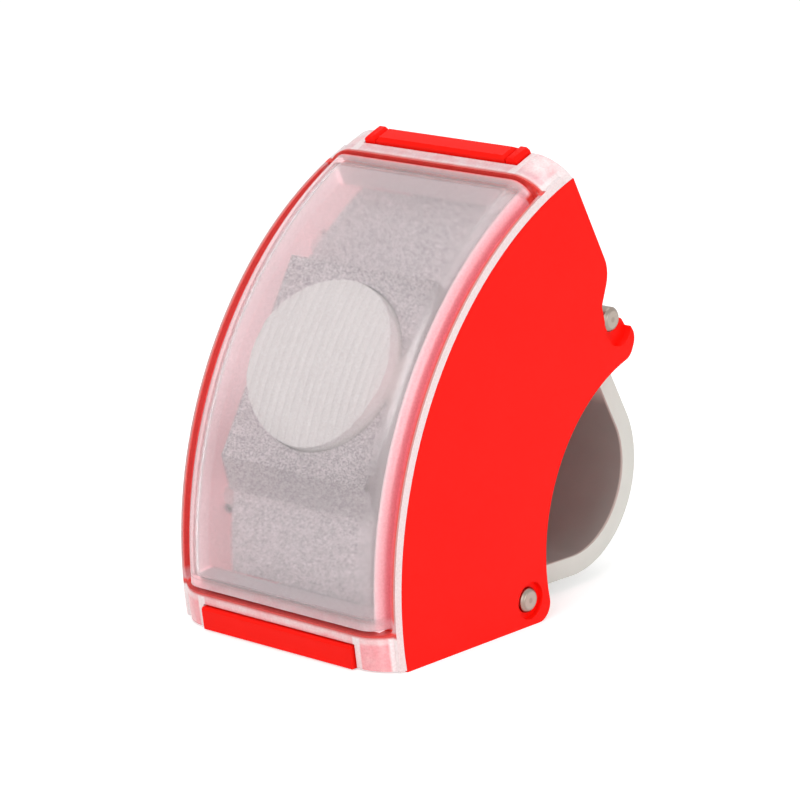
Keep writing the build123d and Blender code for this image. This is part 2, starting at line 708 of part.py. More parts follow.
def power_button():
    """Button cap in the top edge with its stem and two snap legs."""
    cap = trimmed_top(ring_box(BUTTON_HALF_W, cap_foot_h, BUTTON_H, button_phi, end_phi))
    cap = chamfer(outer_face(cap).edges(), BUTTON_CHAMFER)
    root = (cap_foot_h + BUTTON_H) / 2
    stem = button_plane((root + stem_foot_h) / 2) * Box(STEM_W, STEM_D, root - stem_foot_h)
    leg_foot_h = BRIDGE_H - BRIDGE_T - LEG_HEAD
    button = cap + stem
    for side in (-1, 1):
        leg = Box(LEG_W, STEM_D, root - leg_foot_h)
        button += button_plane((root + leg_foot_h) / 2) * Pos(side * LEG_X, 0, 0) * leg
        barb = Box(LEG_BARB, STEM_D, LEG_HEAD - PIN_GAP)
        spot = side * (LEG_X + LEG_W / 2 + LEG_BARB / 2)
        button += button_plane(leg_foot_h + (LEG_HEAD - PIN_GAP) / 2) * Pos(spot, 0, 0) * barb
    return button


def stem_seal():
    """Silicone wiper that closes the bridge round the button's stem."""
    height = BRIDGE_H - BRIDGE_T - SEAL_T / 2 - PIN_GAP
    pad = Box(SEAL_W, SEAL_D, SEAL_T)
    hole = Box(STEM_W + 2 * PIN_GAP, STEM_D + 2 * PIN_GAP, 2 * SEAL_T)
    return button_plane(height) * (fillet(pad.edges().filter_by(Axis.Z), SEAL_CORNER_R) - hole)


def tact_switch():
    """Body of the switch, open at the top for its plunger."""
    body = Box(SWITCH_W, SWITCH_D, SWITCH_T)
    well_depth = PLUNGER_SUNK + BUTTON_TRAVEL + FIT_GAP
    well = Pos(0, 0, (SWITCH_T - well_depth) / 2) * Cylinder(PLUNGER_R + PIN_GAP, well_depth)
    return button_plane(switch_top_h - SWITCH_T / 2) * Pos(0, SWITCH_SHIFT, 0) * (body - well)


def switch_plunger():
    """Plunger that the button's stem pushes."""
    length = stem_foot_h - plunger_foot_h
    place = button_plane(plunger_foot_h + length / 2) * Pos(0, SWITCH_SHIFT, 0)
    return place * Cylinder(PLUNGER_R, length)


def switch_board():
    """Small board under the switch."""
    plate = Box(SWITCH_BOARD_W, SWITCH_BOARD_D, SWITCH_BOARD_T)
    plate = fillet(plate.edges().filter_by(Axis.Z), 1)
    height = switch_board_back_h + SWITCH_BOARD_T / 2
    return button_plane(height) * Pos(0, SWITCH_BOARD_SHIFT, 0) * plate


def main_optic():
    """Round lens with vertical flutes on a curved face and a collecting cone behind."""
    flute_n = int(OPTIC_R / FLUTE_PITCH)
    crest = FRONT_R + OPTIC_FRONT_H
    width = (2 * flute_n + 1) * FLUTE_PITCH / 2
    base = FRONT_R + OPTIC_FRONT_H - OPTIC_FLANGE_T
    low = crest - FLUTE_DEPTH
    points = [(-width, low)]
    for i in range(-flute_n, flute_n + 1):
        for share in FLUTE_FLAT:
            points.append(((i + share) * FLUTE_PITCH, crest))
        points.append(((i + 0.5) * FLUTE_PITCH, low))
    reach = OPTIC_R + FLUTE_PITCH
    deep_radius = base - OPTIC_FLANGE_T
    points += [(reach, low), (reach, deep_radius), (-reach, deep_radius), (-reach, low)]
    half_phi = degrees(asin(reach / FRONT_R))
    span = (OPTIC_PHI - half_phi, OPTIC_PHI + half_phi)
    face_block = ring(line_face(*points), *span)
    back = optic_back_h - OPTIC_FRONT_H
    flange_back = -OPTIC_FLANGE_T
    waist = ((OPTIC_CONE_R + OPTIC_NECK_R) / 2 + OPTIC_BULGE, (back + flange_back) / 2)
    profile = make_face(
        [
            Line((0, 2), (OPTIC_R, 2)),
            Line((OPTIC_R, 2), (OPTIC_R, flange_back)),
            Line((OPTIC_R, flange_back), (OPTIC_CONE_R, flange_back)),
            Line((OPTIC_CONE_R, flange_back), waist),
            Line(waist, (OPTIC_NECK_R, back)),
            Line((OPTIC_NECK_R, back), (LED_CAVITY_R, back)),
            Line((LED_CAVITY_R, back), (LED_CAVITY_R, back + LED_CAVITY_L)),
            Line((LED_CAVITY_R, back + LED_CAVITY_L), (0, back + LED_CAVITY_L)),
            Line((0, back + LED_CAVITY_L), (0, 2)),
        ]
    )
    body = engine_plane(OPTIC_FRONT_H) * revolve(Plane.XZ * profile, axis=Axis.Z)
    deep = ring_box(reach, optic_back_h - OPTIC_FLANGE_T, deep_radius - FRONT_R, *span)
    return body & (face_block + deep)


def optic_holder():
    """Cup that carries the optic over the LED."""
    top = OPTIC_FRONT_H - OPTIC_FLANGE_T
    length = top - led_board_front_h
    cup = Cylinder(OPTIC_R, length) - Cylinder(OPTIC_R - HOLDER_T, length)
    foot = Pos(0, 0, -length / 2 + HOLDER_T / 2) * (
        Cylinder(OPTIC_R, HOLDER_T) - Cylinder(OPTIC_NECK_R + FIT_GAP, HOLDER_T)
    )
    return engine_plane((top + led_board_front_h) / 2) * (cup + foot)


def led_emitter():
    """Emitter body with its round dome."""
    base = Pos(0, 0, LED_T / 2) * Box(LED_W, LED_W, LED_T)
    bulb = Pos(0, 0, LED_T) * Sphere(LED_DOME_R, arc_size1=0)
    return engine_plane(led_board_front_h) * (base + bulb)


def led_board():
    """Round metal-core board with two screw notches."""
    disc = Cylinder(LED_BOARD_R, LED_BOARD_T)
    for side in (-1, 1):
        disc -= Pos(0, side * LED_BOARD_R, 0) * Cylinder(WALL, LED_BOARD_T)
    return engine_plane(led_board_front_h - LED_BOARD_T / 2) * disc


def inner_frame():
    """Frame screwed to the housing that clamps the light engine."""
    plate = Box(2 * (inner_w - FIT_GAP), 2 * (BOSS_T + BOSS_W / 2 + WALL / 2), LED_BOARD_T)
    plate = fillet(plate.edges().filter_by(Axis.Z), 1)
    window = Cylinder(LED_BOARD_R + FIT_GAP, 2 * LED_BOARD_T)
    frame = engine_plane(frame_back_h + LED_BOARD_T / 2) * (plate - window)
    return frame - screw_places(SCREW_R + FIT_GAP, LED_BOARD_T)


def frame_screws():
    """Four screws that hold the frame to the bosses."""
    group = []
    for side in (-1, 1):
        for end in (-1, 1):
            x = side * (inner_w - BOSS_W / 2)
            shank = Pos(0, 0, -SCREW_L / 2 + LED_BOARD_T) * Cylinder(SCREW_R - PIN_GAP, SCREW_L)
            head = Pos(0, 0, LED_BOARD_T + SCREW_HEAD_T / 2) * Cylinder(SCREW_HEAD_R, SCREW_HEAD_T)
            group.append(engine_plane(frame_back_h) * Pos(x, end * BOSS_T, 0) * (shank + head))
    return group


def heat_spreader():
    """Aluminium plate behind the LED board with shallow fins on its back."""
    plate = Box(board_w, SPREADER_L, SPREADER_T)
    plate = fillet(plate.edges().filter_by(Axis.Z), WALL)
    for i in range(FIN_N):
        x = (i - (FIN_N - 1) / 2) * FIN_PITCH
        plate -= Pos(x, 0, -SPREADER_T / 2) * Box(FIN_PITCH / 2, 2 * SPREADER_L, SPREADER_T)
    return engine_plane(frame_back_h - SPREADER_T / 2) * plate


def main_board():
    """Main circuit board."""
    plate = Box(board_w, BOARD_L, BOARD_T)
    plate = fillet(plate.edges().filter_by(Axis.Z), WALL)
    return engine_plane(board_front_h - BOARD_T / 2) * plate


def board_components():
    """Driver chip, coil and capacitors on the back of the main board."""
    back = board_front_h - BOARD_T
    group = []
    for x, t, width, length in BOARD_PARTS:
        block = Box(width, length, PART_T)
        block = chamfer(block.faces().sort_by(Axis.Z)[0].edges(), PIN_CHAMFER / 2)
        group.append(engine_plane(back - PART_T / 2) * Pos(x, t, 0) * block)
    return group


def battery_pad():
    """Foam pad between the components and the cell."""
    height = cell_back_h + CELL_T + PAD_T / 2
    return engine_plane(height) * Pos(0, -CELL_DROP, 0) * Box(CELL_W - 2, CELL_L - 4, PAD_T)


def battery_cell():
    """Lithium pouch cell with rounded long edges."""
    block = Box(CELL_W, CELL_L, CELL_T)
    block = fillet(block.edges().filter_by(Axis.Y), CELL_FILLET)
    return engine_plane(cell_back_h + CELL_T / 2) * Pos(0, -CELL_DROP, 0) * block


def mask_section(shrink, low_h):
    """Section of the mask in (x, radius), drawn smaller by a wall."""
    top_h = MASK_H - shrink
    face = Rectangle(2 * (MASK_HALF_W - shrink), top_h - low_h)
    face = chamfer(face.vertices().group_by(Axis.Y)[-1], MASK_CHAMFER)
    return Pos(0, FRONT_R + (top_h + low_h) / 2) * face


def mask_pad():
    """Flat pad round the optic, with a ramp under it and a step over it."""
    y, z = arc_point(OPTIC_PHI, PAD_H)
    run_y, run_z = sin(radians(OPTIC_PHI)), cos(radians(OPTIC_PHI))
    root_h = MASK_H - MASK_T / 2
    ramp_phi = OPTIC_PHI - arc_degrees(PAD_BELOW + PAD_RAMP_L)
    face = line_face(
        arc_point(ramp_phi, root_h),
        arc_point(ramp_phi, MASK_H),
        (y - PAD_BELOW * run_y, z - PAD_BELOW * run_z),
        (y + PAD_OVER * run_y, z + PAD_OVER * run_z),
        arc_point(OPTIC_PHI + arc_degrees(PAD_OVER), root_h),
    )
    return side_solid(face, -MASK_HALF_W, MASK_HALF_W)


def reflector_mask():
    """Silver mask behind the window with a flat pad and a round hole for the optic."""
    mask = ring(mask_section(0, MASK_FOOT_H), mask_low_phi, mask_high_phi) + mask_pad()
    mask -= ring(mask_section(MASK_T, MASK_FOOT_H - MASK_T), mask_low_phi - 1, mask_high_phi + 1)
    hole = engine_plane(MASK_H) * Cylinder(OPTIC_R + 2 * FIT_GAP, 4 * TONGUE_DEPTH)
    return mask - hole


def socket_shell():
    """Charging socket: rounded metal shell, closed at the back, with its tongue."""
    shell = extrude(RectangleRounded(SOCKET_W, SOCKET_D, SOCKET_D / 2 - SOCKET_WALL), amount=SOCKET_L)
    mouth_w, mouth_d = SOCKET_W - 2 * SOCKET_WALL, SOCKET_D - 2 * SOCKET_WALL
    mouth = extrude(
        RectangleRounded(mouth_w, mouth_d, mouth_d / 2 - SOCKET_WALL), amount=SOCKET_L - 1
    )
    tongue = Pos(0, 0, SOCKET_L - TONGUE_L / 2) * Box(TONGUE_W, TONGUE_T, TONGUE_L)
    return Pos(0, SOCKET_Y, FLOOR_Z + FIT_GAP) * (shell - mouth + tongue)


def charge_board():
    """Upright board that carries the charging socket."""
    y = SOCKET_Y + SOCKET_D / 2 + CHARGE_BOARD_T / 2
    z = FLOOR_Z + FLOOR_T + CHARGE_BOARD_L / 2
    plate = Box(CHARGE_BOARD_W, CHARGE_BOARD_T, CHARGE_BOARD_L)
    return Pos(0, y, z) * fillet(plate.edges().filter_by(Axis.Y), 1)


def port_flap():
    """Flap over the charging socket, with the finger lip that shows in front."""
    lip_top = (arc_point_at_z(LIP_TOP_Z, LIP_FRONT_H), LIP_TOP_Z)
    lip_foot = (arc_point_at_z(FLAP_FOOT_Z, LIP_FRONT_H), FLAP_FOOT_Z)
    plate_top = FLAP_FOOT_Z + FLAP_T
    lip = line_face(
        lip_top,
        (lip_top[0] + FLAP_LIP_T, LIP_TOP_Z),
        (lip_top[0] + FLAP_LIP_T, plate_top),
        (FLAP_PIN_Y, plate_top),
        (FLAP_PIN_Y, FLAP_FOOT_Z),
        lip_foot,
    )
    flap = side_solid(lip, -TAB_HALF_W, TAB_HALF_W)
    front_edges = flap.edges().filter_by(Axis.X).sort_by_distance((0, *lip_top))[:1]
    flap = fillet(front_edges, BUTTON_CHAMFER)
    knuckle_w = TAB_HALF_W - FIT_GAP
    flap += rod(FLAP_PIN_Y, FLAP_PIN_Z, FLAP_KNUCKLE_R, -knuckle_w, knuckle_w)
    return flap - rod(FLAP_PIN_Y, FLAP_PIN_Z, FLAP_PIN_R + PIN_GAP, -WIDTH, WIDTH)


def flap_pin():
    """Hinge pin of the flap."""
    length = flap_pin_half() - PIN_GAP
    return rod(FLAP_PIN_Y, FLAP_PIN_Z, FLAP_PIN_R, -length, length)


def flap_seal():
    """Silicone pad on the flap with a plug for the socket's mouth."""
    base_z = FLAP_FOOT_Z + FLAP_T
    pad = Box(PLUG_PAD_W, PLUG_PAD_D, PLUG_PAD_T)
    pad = fillet(pad.edges().filter_by(Axis.Z), 1)
    plug = extrude(RectangleRounded(PLUG_W, PLUG_D, PLUG_D / 2 - PIN_GAP), amount=PLUG_L)
    seal = Pos(0, 0, PLUG_PAD_T / 2) * pad + Pos(0, 0, PLUG_PAD_T) * plug
    return Pos(0, SOCKET_Y, base_z) * seal


def strap_outline():
    """Side view of the strap: two eyes and the loop between them."""

    def touch(pin_y, pin_z, side):
        dy, dz = STRAP_LOOP_Y - pin_y, STRAP_LOOP_Z - pin_z
        far = hypot(dy, dz)
        run = sqrt(far**2 - STRAP_LOOP_R**2)
        turn = atan2(dz, dy) + side * asin(STRAP_LOOP_R / far)
        return (pin_y + run * cos(turn), pin_z + run * sin(turn)), degrees(turn), run

    low_end, low_turn, low_run = touch(LOWER_PIN_Y, LOWER_PIN_Z, -1)
    high_end, high_turn, high_run = touch(UPPER_PIN_Y, UPPER_PIN_Z, 1)
    low_leg = Rot(0, 0, low_turn) * Pos(low_run / 2, 0) * Rectangle(low_run, STRAP_T)
    low_leg = Pos(LOWER_PIN_Y, LOWER_PIN_Z) * low_leg
    high_leg = Rot(0, 0, high_turn) * Pos(high_run / 2, 0) * Rectangle(high_run, STRAP_T)
    high_leg = Pos(UPPER_PIN_Y, UPPER_PIN_Z) * high_leg
    loop = Pos(STRAP_LOOP_Y, STRAP_LOOP_Z) * (
        Circle(STRAP_LOOP_R + STRAP_T / 2) - Circle(STRAP_LOOP_R - STRAP_T / 2)
    )
    far = 4 * STRAP_LOOP_R
    reach_low = (
        STRAP_LOOP_Y + far * (low_end[0] - STRAP_LOOP_Y) / STRAP_LOOP_R,
        STRAP_LOOP_Z + far * (low_end[1] - STRAP_LOOP_Z) / STRAP_LOOP_R,
    )
    reach_high = (
        STRAP_LOOP_Y + far * (high_end[0] - STRAP_LOOP_Y) / STRAP_LOOP_R,
        STRAP_LOOP_Z + far * (high_end[1] - STRAP_LOOP_Z) / STRAP_LOOP_R,
    )
    wedge = line_face((STRAP_LOOP_Y, STRAP_LOOP_Z), reach_low, (STRAP_LOOP_Y + far, -far), reach_high)
    outline = low_leg + high_leg + (loop & wedge)
    outline += Pos(LOWER_PIN_Y, LOWER_PIN_Z) * Circle(STRAP_EYE_R)
    outline += Pos(UPPER_PIN_Y, UPPER_PIN_Z) * Circle(STRAP_EYE_R)
    return outline


def strap():
    """Stretchy strap, one moulding from the lower pin round to the upper pin."""
    band = side_solid(strap_outline(), -STRAP_WIDTH / 2, STRAP_WIDTH / 2)
    for y, z in ((LOWER_PIN_Y, LOWER_PIN_Z), (UPPER_PIN_Y, UPPER_PIN_Z)):
        band -= rod(y, z, PIN_R + PIN_GAP, -WIDTH, WIDTH)
    return band


def strap_pin(y, z):
    """Steel pin across the lamp, flush with the cheeks."""
    pin = rod(y, z, PIN_R, -half_w, half_w)
    return chamfer(pin.edges().filter_by(GeomType.CIRCLE), PIN_CHAMFER)


def lower_pin():
    return strap_pin(LOWER_PIN_Y, LOWER_PIN_Z)


def upper_pin():
    return strap_pin(UPPER_PIN_Y, UPPER_PIN_Z)


PIECES = {
    "housing": housing,
    "lens_cover": lens_cover,
    "power_button": power_button,
    "stem_seal": stem_seal,
    "tact_switch": tact_switch,
    "switch_plunger": switch_plunger,
    "switch_board": switch_board,
    "main_optic": main_optic,
    "optic_holder": optic_holder,
    "led_emitter": led_emitter,
    "led_board": led_board,
    "inner_frame": inner_frame,
    "frame_screws": frame_screws,
    "heat_spreader": heat_spreader,
    "main_board": main_board,
    "board_components": board_components,
    "battery_pad": battery_pad,
    "battery_cell": battery_cell,
    "reflector_mask": reflector_mask,
    "charging_socket": socket_shell,
    "charge_board": charge_board,
    "port_flap": port_flap,
    "flap_pin": flap_pin,
    "flap_seal": flap_seal,
    "strap": strap,
    "lower_pin": lower_pin,
    "upper_pin": upper_pin,
}


def to_frame():
    """Move from building coordinates to the middle of the part's box."""
    front = port_flap().bounding_box().min.Y
    rear = strap().bounding_box().max.Y
    return Location((0, -(front + rear) / 2, 0))


if __name__ == "__main__":
    os.makedirs("parts", exist_ok=True)
    shift = to_frame()
    print("moved by", shift.position)
    for name, make in PIECES.items():
        made = make()
        solids = made if isinstance(made, list) else made.solids()
        placed = [shift * solid for solid in solids]
        piece = placed[0] if len(placed) == 1 else Compound(children=placed)
        export_step(piece, f"parts/{name}.step")
        print(name, len(placed))
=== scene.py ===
# %% [markdown]
# # A strap-on bicycle headlight
#
# The lamp is a red moulding with two flat cheeks, a hazy clear cover between them, a fluted lens behind
# the cover, and a rubber strap that pulls it onto a handlebar. Its rigid pieces come ready made from the
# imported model, which is loaded first. This lesson adds the camera and light, a finish for each piece, the
# rounded edges that catch the light, and the soft strap.

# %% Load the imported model
from math import asin, atan2, cos, hypot, pi, radians, sin, sqrt

import bpy
from mathutils import Matrix, Vector


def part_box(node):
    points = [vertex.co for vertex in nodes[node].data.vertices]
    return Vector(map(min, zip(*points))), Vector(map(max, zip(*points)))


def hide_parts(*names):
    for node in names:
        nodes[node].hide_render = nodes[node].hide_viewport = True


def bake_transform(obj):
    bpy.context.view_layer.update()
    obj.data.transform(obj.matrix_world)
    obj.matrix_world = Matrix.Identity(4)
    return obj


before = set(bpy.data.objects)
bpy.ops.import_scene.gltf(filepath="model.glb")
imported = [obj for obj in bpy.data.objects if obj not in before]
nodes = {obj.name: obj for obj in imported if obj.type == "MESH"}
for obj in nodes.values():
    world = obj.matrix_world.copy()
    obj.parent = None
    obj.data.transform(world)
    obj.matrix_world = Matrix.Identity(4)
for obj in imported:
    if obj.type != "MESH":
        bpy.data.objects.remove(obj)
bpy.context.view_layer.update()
scene = bpy.context.scene
print("pieces in the frame:", len(nodes))

# %% [markdown]
# Sizes are easiest to read in millimetres, and Blender works in metres here, so one value turns one into
# the other. The strap runs from one steel pin to another, so the middles of both pins are read off the
# model.

# %% Units and the places of the two strap pins
MM = 0.001


def middle(node):
    """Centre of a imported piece's box."""
    low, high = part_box(node)
    return (low + high) / 2


lower_pin_at = middle("lower_pin")
upper_pin_at = middle("upper_pin")
print("lower pin", lower_pin_at, "upper pin", upper_pin_at)

# %% [markdown]
# The camera stands 40 degrees round from the lamp's nose and 14 degrees up, about 40 cm away, with a long
# lens that keeps the two cheeks nearly parallel. A constraint could aim it, but it is built from its own
# three directions, right, up and back, because they say exactly where it looks.

# %% Camera
CAMERA_AZIMUTH = 40.38                           # degrees round from the nose
CAMERA_ELEVATION = 14.26                         # degrees up
CAMERA_OFFSET_MM = (9.910, 27.318, 403.796)      # along its own right, up and back
CAMERA_START_Y_MM = -19.728                      # depth, on the ground, that the offset starts from
LENS_MM = 157.06
NEAREST_MM = 10.0                                # nothing nearer than this is drawn

turn = radians(CAMERA_AZIMUTH)
lift = radians(CAMERA_ELEVATION)
back = Vector((sin(turn) * cos(lift), -cos(turn) * cos(lift), sin(lift)))
right = Vector((cos(turn), sin(turn), 0))
up = back.cross(right)
offset = Vector(CAMERA_OFFSET_MM) * MM
start = Vector((0, CAMERA_START_Y_MM * MM, 0))
camera_data = bpy.data.cameras.new("camera")
camera_data.lens = LENS_MM
camera_data.clip_start = NEAREST_MM * MM
camera = bpy.data.objects.new("camera", camera_data)
camera.matrix_world = Matrix((right, up, back)).transposed().to_4x4()
camera.location = right * offset.x + up * offset.y + back * offset.z + start
scene.collection.objects.link(camera)
scene.camera = camera
print("camera at", camera.location)

# %% [markdown]
# A finish is a small network of nodes. One helper adds a node, gives it its settings and feeds its
# inputs, so that a finish reads from top to bottom. Colours are written as the hex values that a picture
# editor shows, and one function turns them into the linear light that Blender mixes.

# %% Helpers that make a finish
def linear(hex_colour):
    """Linear RGBA of an sRGB hex colour such as F01B12, by the sRGB formula."""
    channels = []
    for start in (0, 2, 4):
        value = int(hex_colour[start:start + 2], 16) / 255
        channels.append(value / 12.92 if value <= 0.04045 else ((value + 0.055) / 1.055) ** 2.4)
    return (*channels, 1.0)


def socket_of(sockets, key):
    """Socket by its identifier, which is its own, or else by its name, which several may share."""
    identified = {socket.identifier: socket for socket in sockets}
    return identified[key] if key in identified else sockets[key]


def feed(tree, node, inputs):
    """Give each of a node's inputs a plain value, or link it to the output that drives it."""
    for key, value in inputs.items():
        socket = socket_of(node.inputs, key)
        if isinstance(value, bpy.types.NodeSocket):
            tree.links.new(value, socket)
        else:
            socket.default_value = value


def add_node(tree, kind, inputs=None, output=None, **settings):
    """Add a node with its settings and inputs; give back one output, or the node if none is named."""
    made = tree.nodes.new(kind)
    for name, value in settings.items():
        setattr(made, name, value)
    feed(tree, made, inputs or {})
    return socket_of(made.outputs, output) if output else made


def new_finish(name):
    """Empty material with its tree, its shader, and a socket that gives the place on the piece."""
    material = bpy.data.materials.new(name)
    material.use_nodes = True
    tree = material.node_tree
    shader = tree.nodes["Principled BSDF"]
    return material, tree, shader, add_node(tree, "ShaderNodeTexCoord", output="Object")


print("helpers for finishes are ready")

# %% [markdown]
# Most surfaces vary a little in colour and gloss, which is what makes them look real. The variation comes
# from noise, and a ramp of colours turns the noise, or any other number, into a look. Looks are then laid
# over each other, as a painter masks one area after another.

# %% Helpers that vary a look
NOISE_LOW = 0.3                      # noise rarely leaves the range between these two
NOISE_HIGH = 0.7
FINE_DETAIL = 3.0                    # octaves of the fine noises
WHITE = (1.0, 1.0, 1.0, 1.0)


def per_metre(size_mm):
    """Scale of a pattern whose features are about size_mm across."""
    return 1 / (size_mm * MM)


def look_of(value):
    """Hex colour or plain number as the RGBA that a ramp or mix takes; a socket stays as it is."""
    if isinstance(value, str):
        return linear(value)
    return (value, value, value, 1.0) if isinstance(value, float) else value


def along(tree, value, marks):
    """Look that runs through marks, each a number and the look that it has there."""
    first, last = marks[0][0], marks[-1][0]
    share = add_node(
        tree, "ShaderNodeMapRange", {"Value": value, "From Min": first, "From Max": last}, "Result"
    )
    ramp = add_node(tree, "ShaderNodeValToRGB", {"Fac": share})
    held = ramp.color_ramp.elements
    held[0].color = look_of(marks[0][1])
    held[1].color = look_of(marks[-1][1])
    for at, look in marks[1:-1]:
        held.new((at - first) / (last - first)).color = look_of(look)
    return ramp.outputs["Color"]


def layered(tree, base, layers, blend="MIX"):
    """Lay looks over a base one by one, each as far as its share says."""
    for share, look in layers:
        base = add_node(
            tree,
            "ShaderNodeMix",
            {"Factor_Float": share, "A_Color": look_of(base), "B_Color": look_of(look)},
            "Result_Color",
            data_type="RGBA",
            blend_type=blend,
        )
    return base


def where_all(tree, *shares):
    """The least of some shares, so that a place needs them all."""
    least = shares[0]
    for share in shares[1:]:
        least = add_node(
            tree, "ShaderNodeMath", {"Value": least, "Value_001": share}, "Value", operation="MINIMUM"
        )
    return least


print("helpers for varied looks are ready")

# %% [markdown]
# Some finishes change from place to place on the curved front. All of that front is drawn about one axis
# that runs across the lamp, so three plain numbers say where a point lies: how far it is from the middle
# plane, how high it stands over the cheeks' front edge, and how far up the arc it is. They could be
# painted on as masks, but worked out from the place they stay sharp at any distance.

# %% Where a point lies on the curved front
ARC_AXIS_MM = (21.522, 9.5)          # depth and height of the arc's axis
ARC_R_MM = 45.0                      # radius of the cheeks' front edge


def seen_from_side(tree, place, depth_mm, height_mm):
    """Vector in millimetres from an axis that runs across the lamp to a place, square to that axis."""
    return add_node(
        tree,
        "ShaderNodeMapping",
        {"Vector": place, "Location": (0, -depth_mm, -height_mm), "Scale": (0, 1 / MM, 1 / MM)},
        "Vector",
    )


def across_of(tree, place):
    """Millimetres from the middle plane to a place."""
    signed = add_node(tree, "ShaderNodeSeparateXYZ", {"Vector": place}, "X")
    across = add_node(tree, "ShaderNodeMath", {"Value": signed}, "Value", operation="ABSOLUTE")
    return add_node(
        tree, "ShaderNodeMath", {"Value": across, "Value_001": 1 / MM}, "Value", operation="MULTIPLY"
    )


def front_places(tree, place):
    """Millimetres from the middle plane, millimetres over the front edge, and degrees up its arc."""
    spoke = seen_from_side(tree, place, *ARC_AXIS_MM)
    reach = add_node(tree, "ShaderNodeVectorMath", {"Vector": spoke}, "Value", operation="LENGTH")
    over = add_node(
        tree, "ShaderNodeMath", {"Value": reach, "Value_001": ARC_R_MM}, "Value", operation="SUBTRACT"
    )
    sides = add_node(tree, "ShaderNodeSeparateXYZ", {"Vector": spoke}).outputs
    ahead = add_node(
        tree, "ShaderNodeMath", {"Value": sides["Y"], "Value_001": -1.0}, "Value", operation="MULTIPLY"
    )
    angle = add_node(
        tree, "ShaderNodeMath", {"Value": sides["Z"], "Value_001": ahead}, "Value", operation="ARCTAN2"
    )
    angle = add_node(tree, "ShaderNodeMath", {"Value": angle}, "Value", operation="DEGREES")
    return across_of(tree, place), over, angle


print("the front's arc has a radius of", ARC_R_MM, "mm")

# %% [markdown]
# The red pieces are moulded ABS from a finely spark-eroded tool. That leaves a satin skin: the gloss is
# soft, grains of about 0.12 mm show only as a slight unevenness of the highlights, and the colour is
# even. The thin cheeks let some light through, so their inner faces, seen through the window, look pink
# and lit. Real light that soaks through plastic is slow to render, so that light is painted instead: those
# faces get a painted pale pink and a painted faint glow of their own.

# %% Red moulded ABS
ABS_GRAIN_MM = 0.12
ABS_CLOUD_MM = 9.0
ABS_BUMP_MM = 0.004
ABS_GLOSS_SPREAD = 0.05              # roughness wanders by this much either way
CHEEK_INSIDE_ACROSS = ((14.85, 0.0), (14.9, 1.0), (15.1, 1.0), (15.2, 0.0))
CHEEK_INSIDE_OVER = ((-10.0, 0.0), (-8.0, 1.0), (-1.0, 1.0), (-0.8, 0.0))
# painted pink for the light that soaks through the cheeks
CHEEK_INSIDE_PAINTED_PINK = "FFB8BE"
CARRIED_LIGHT = 0.6                  # strength of the glow that stands for light carried by plastic
CARRIED_GLOW_COLOURS = ((16.0, "CB8F97"), (28.0, "F4D2D7"))   # its colour, by degrees up the arc


def moulded_abs_red(name, main, other, gloss):
    """Satin red ABS that wanders between two near reds, with painted pink and a painted glow on the cheeks'
    inner faces.
    """
    material, tree, shader, place = new_finish(name)
    across, over, angle = front_places(tree, place)
    cloud = add_node(
        tree, "ShaderNodeTexNoise", {"Vector": place, "Scale": per_metre(ABS_CLOUD_MM)}, "Fac"
    )
    fine = add_node(
        tree,
        "ShaderNodeTexNoise",
        {"Vector": place, "Scale": per_metre(ABS_GRAIN_MM), "Detail": FINE_DETAIL},
        "Fac",
    )
    low, high = gloss - ABS_GLOSS_SPREAD, gloss + ABS_GLOSS_SPREAD
    rough = add_node(tree, "ShaderNodeMapRange", {"Value": fine, "To Min": low, "To Max": high}, "Result")
    bump = add_node(tree, "ShaderNodeBump", {"Height": fine, "Distance": ABS_BUMP_MM * MM}, "Normal")
    # The cheeks' inner faces get painted pink and a painted glow, in place of light carried through the
    # plastic.
    inside = where_all(
        tree, along(tree, across, CHEEK_INSIDE_ACROSS), along(tree, over, CHEEK_INSIDE_OVER)
    )
    red = along(tree, cloud, ((NOISE_LOW, main), (NOISE_HIGH, other)))
    feed(tree, shader, {
        "Base Color": layered(tree, red, [(inside, CHEEK_INSIDE_PAINTED_PINK)]),
        "Emission Color": layered(tree, 0.0, [(inside, along(tree, angle, CARRIED_GLOW_COLOURS))]),
        "Emission Strength": CARRIED_LIGHT,
        "Roughness": rough,
        "Normal": bump,
        "IOR": 1.5,
        "Specular IOR Level": 0.1,
    })
    return material


housing_red = moulded_abs_red("moulded_abs_housing_red", "FF1307", "FC1005", gloss=0.45)
button_red = moulded_abs_red("moulded_abs_button_red", "F8170B", "F31408", gloss=0.4)
print("finishes:", housing_red.name, button_red.name)

# %% [markdown]
# The cover is injection-moulded polycarbonate with no colour of its own. It is hazy over the window, so
# the mask behind it shows through a white veil, and it carries the red of the housing like a light guide:
# the window's shoulders turn pink, the groove beside them red, and the thin outer edges shine pale. Real
# light guiding takes thousands of bounces to render, so that light is painted: each place gets the colour
# and the clearness that it shows, as painted glow and painted highlights. The first two lists run from
# the cover's middle to its side edge, in millimetres.

# %% The cover's looks from its middle to its side
# Apart from the window's own white haze these colours are painted light: a painted pink glow on the
# shoulder, a painted red glow in the groove and on the lip, and a painted pale highlight on the outer edge.
ACROSS_HAZE_AND_PAINTED_LIGHT = (
    (0.0, "FCFAFB"), (14.05, "FCFAFB"),                         # window, and where its shoulder starts
    (14.3, "F8CBD0"), (15.0, "F5909B"), (15.12, "F57780"),      # the shoulder
    (15.82, "F06A70"), (15.86, "F2504A"), (16.15, "F2605A"),    # groove, and the lip's inner wall
    (16.2, "FAB8B4"), (16.4, "FAB8B4"),                         # top of the lip
    (16.42, "FDEDED"), (17.0, "FDEDED"),                        # outer edge
)
ACROSS_CLEARNESS = (
    (0.0, 0.87), (14.05, 0.85),
    (14.3, 0.4), (15.0, 0.2), (15.12, 0.15),
    (15.82, 0.15), (15.86, 0.1), (16.15, 0.15),
    (16.2, 0.4), (16.4, 0.4),
    (16.42, 0.08), (17.0, 0.08),
)
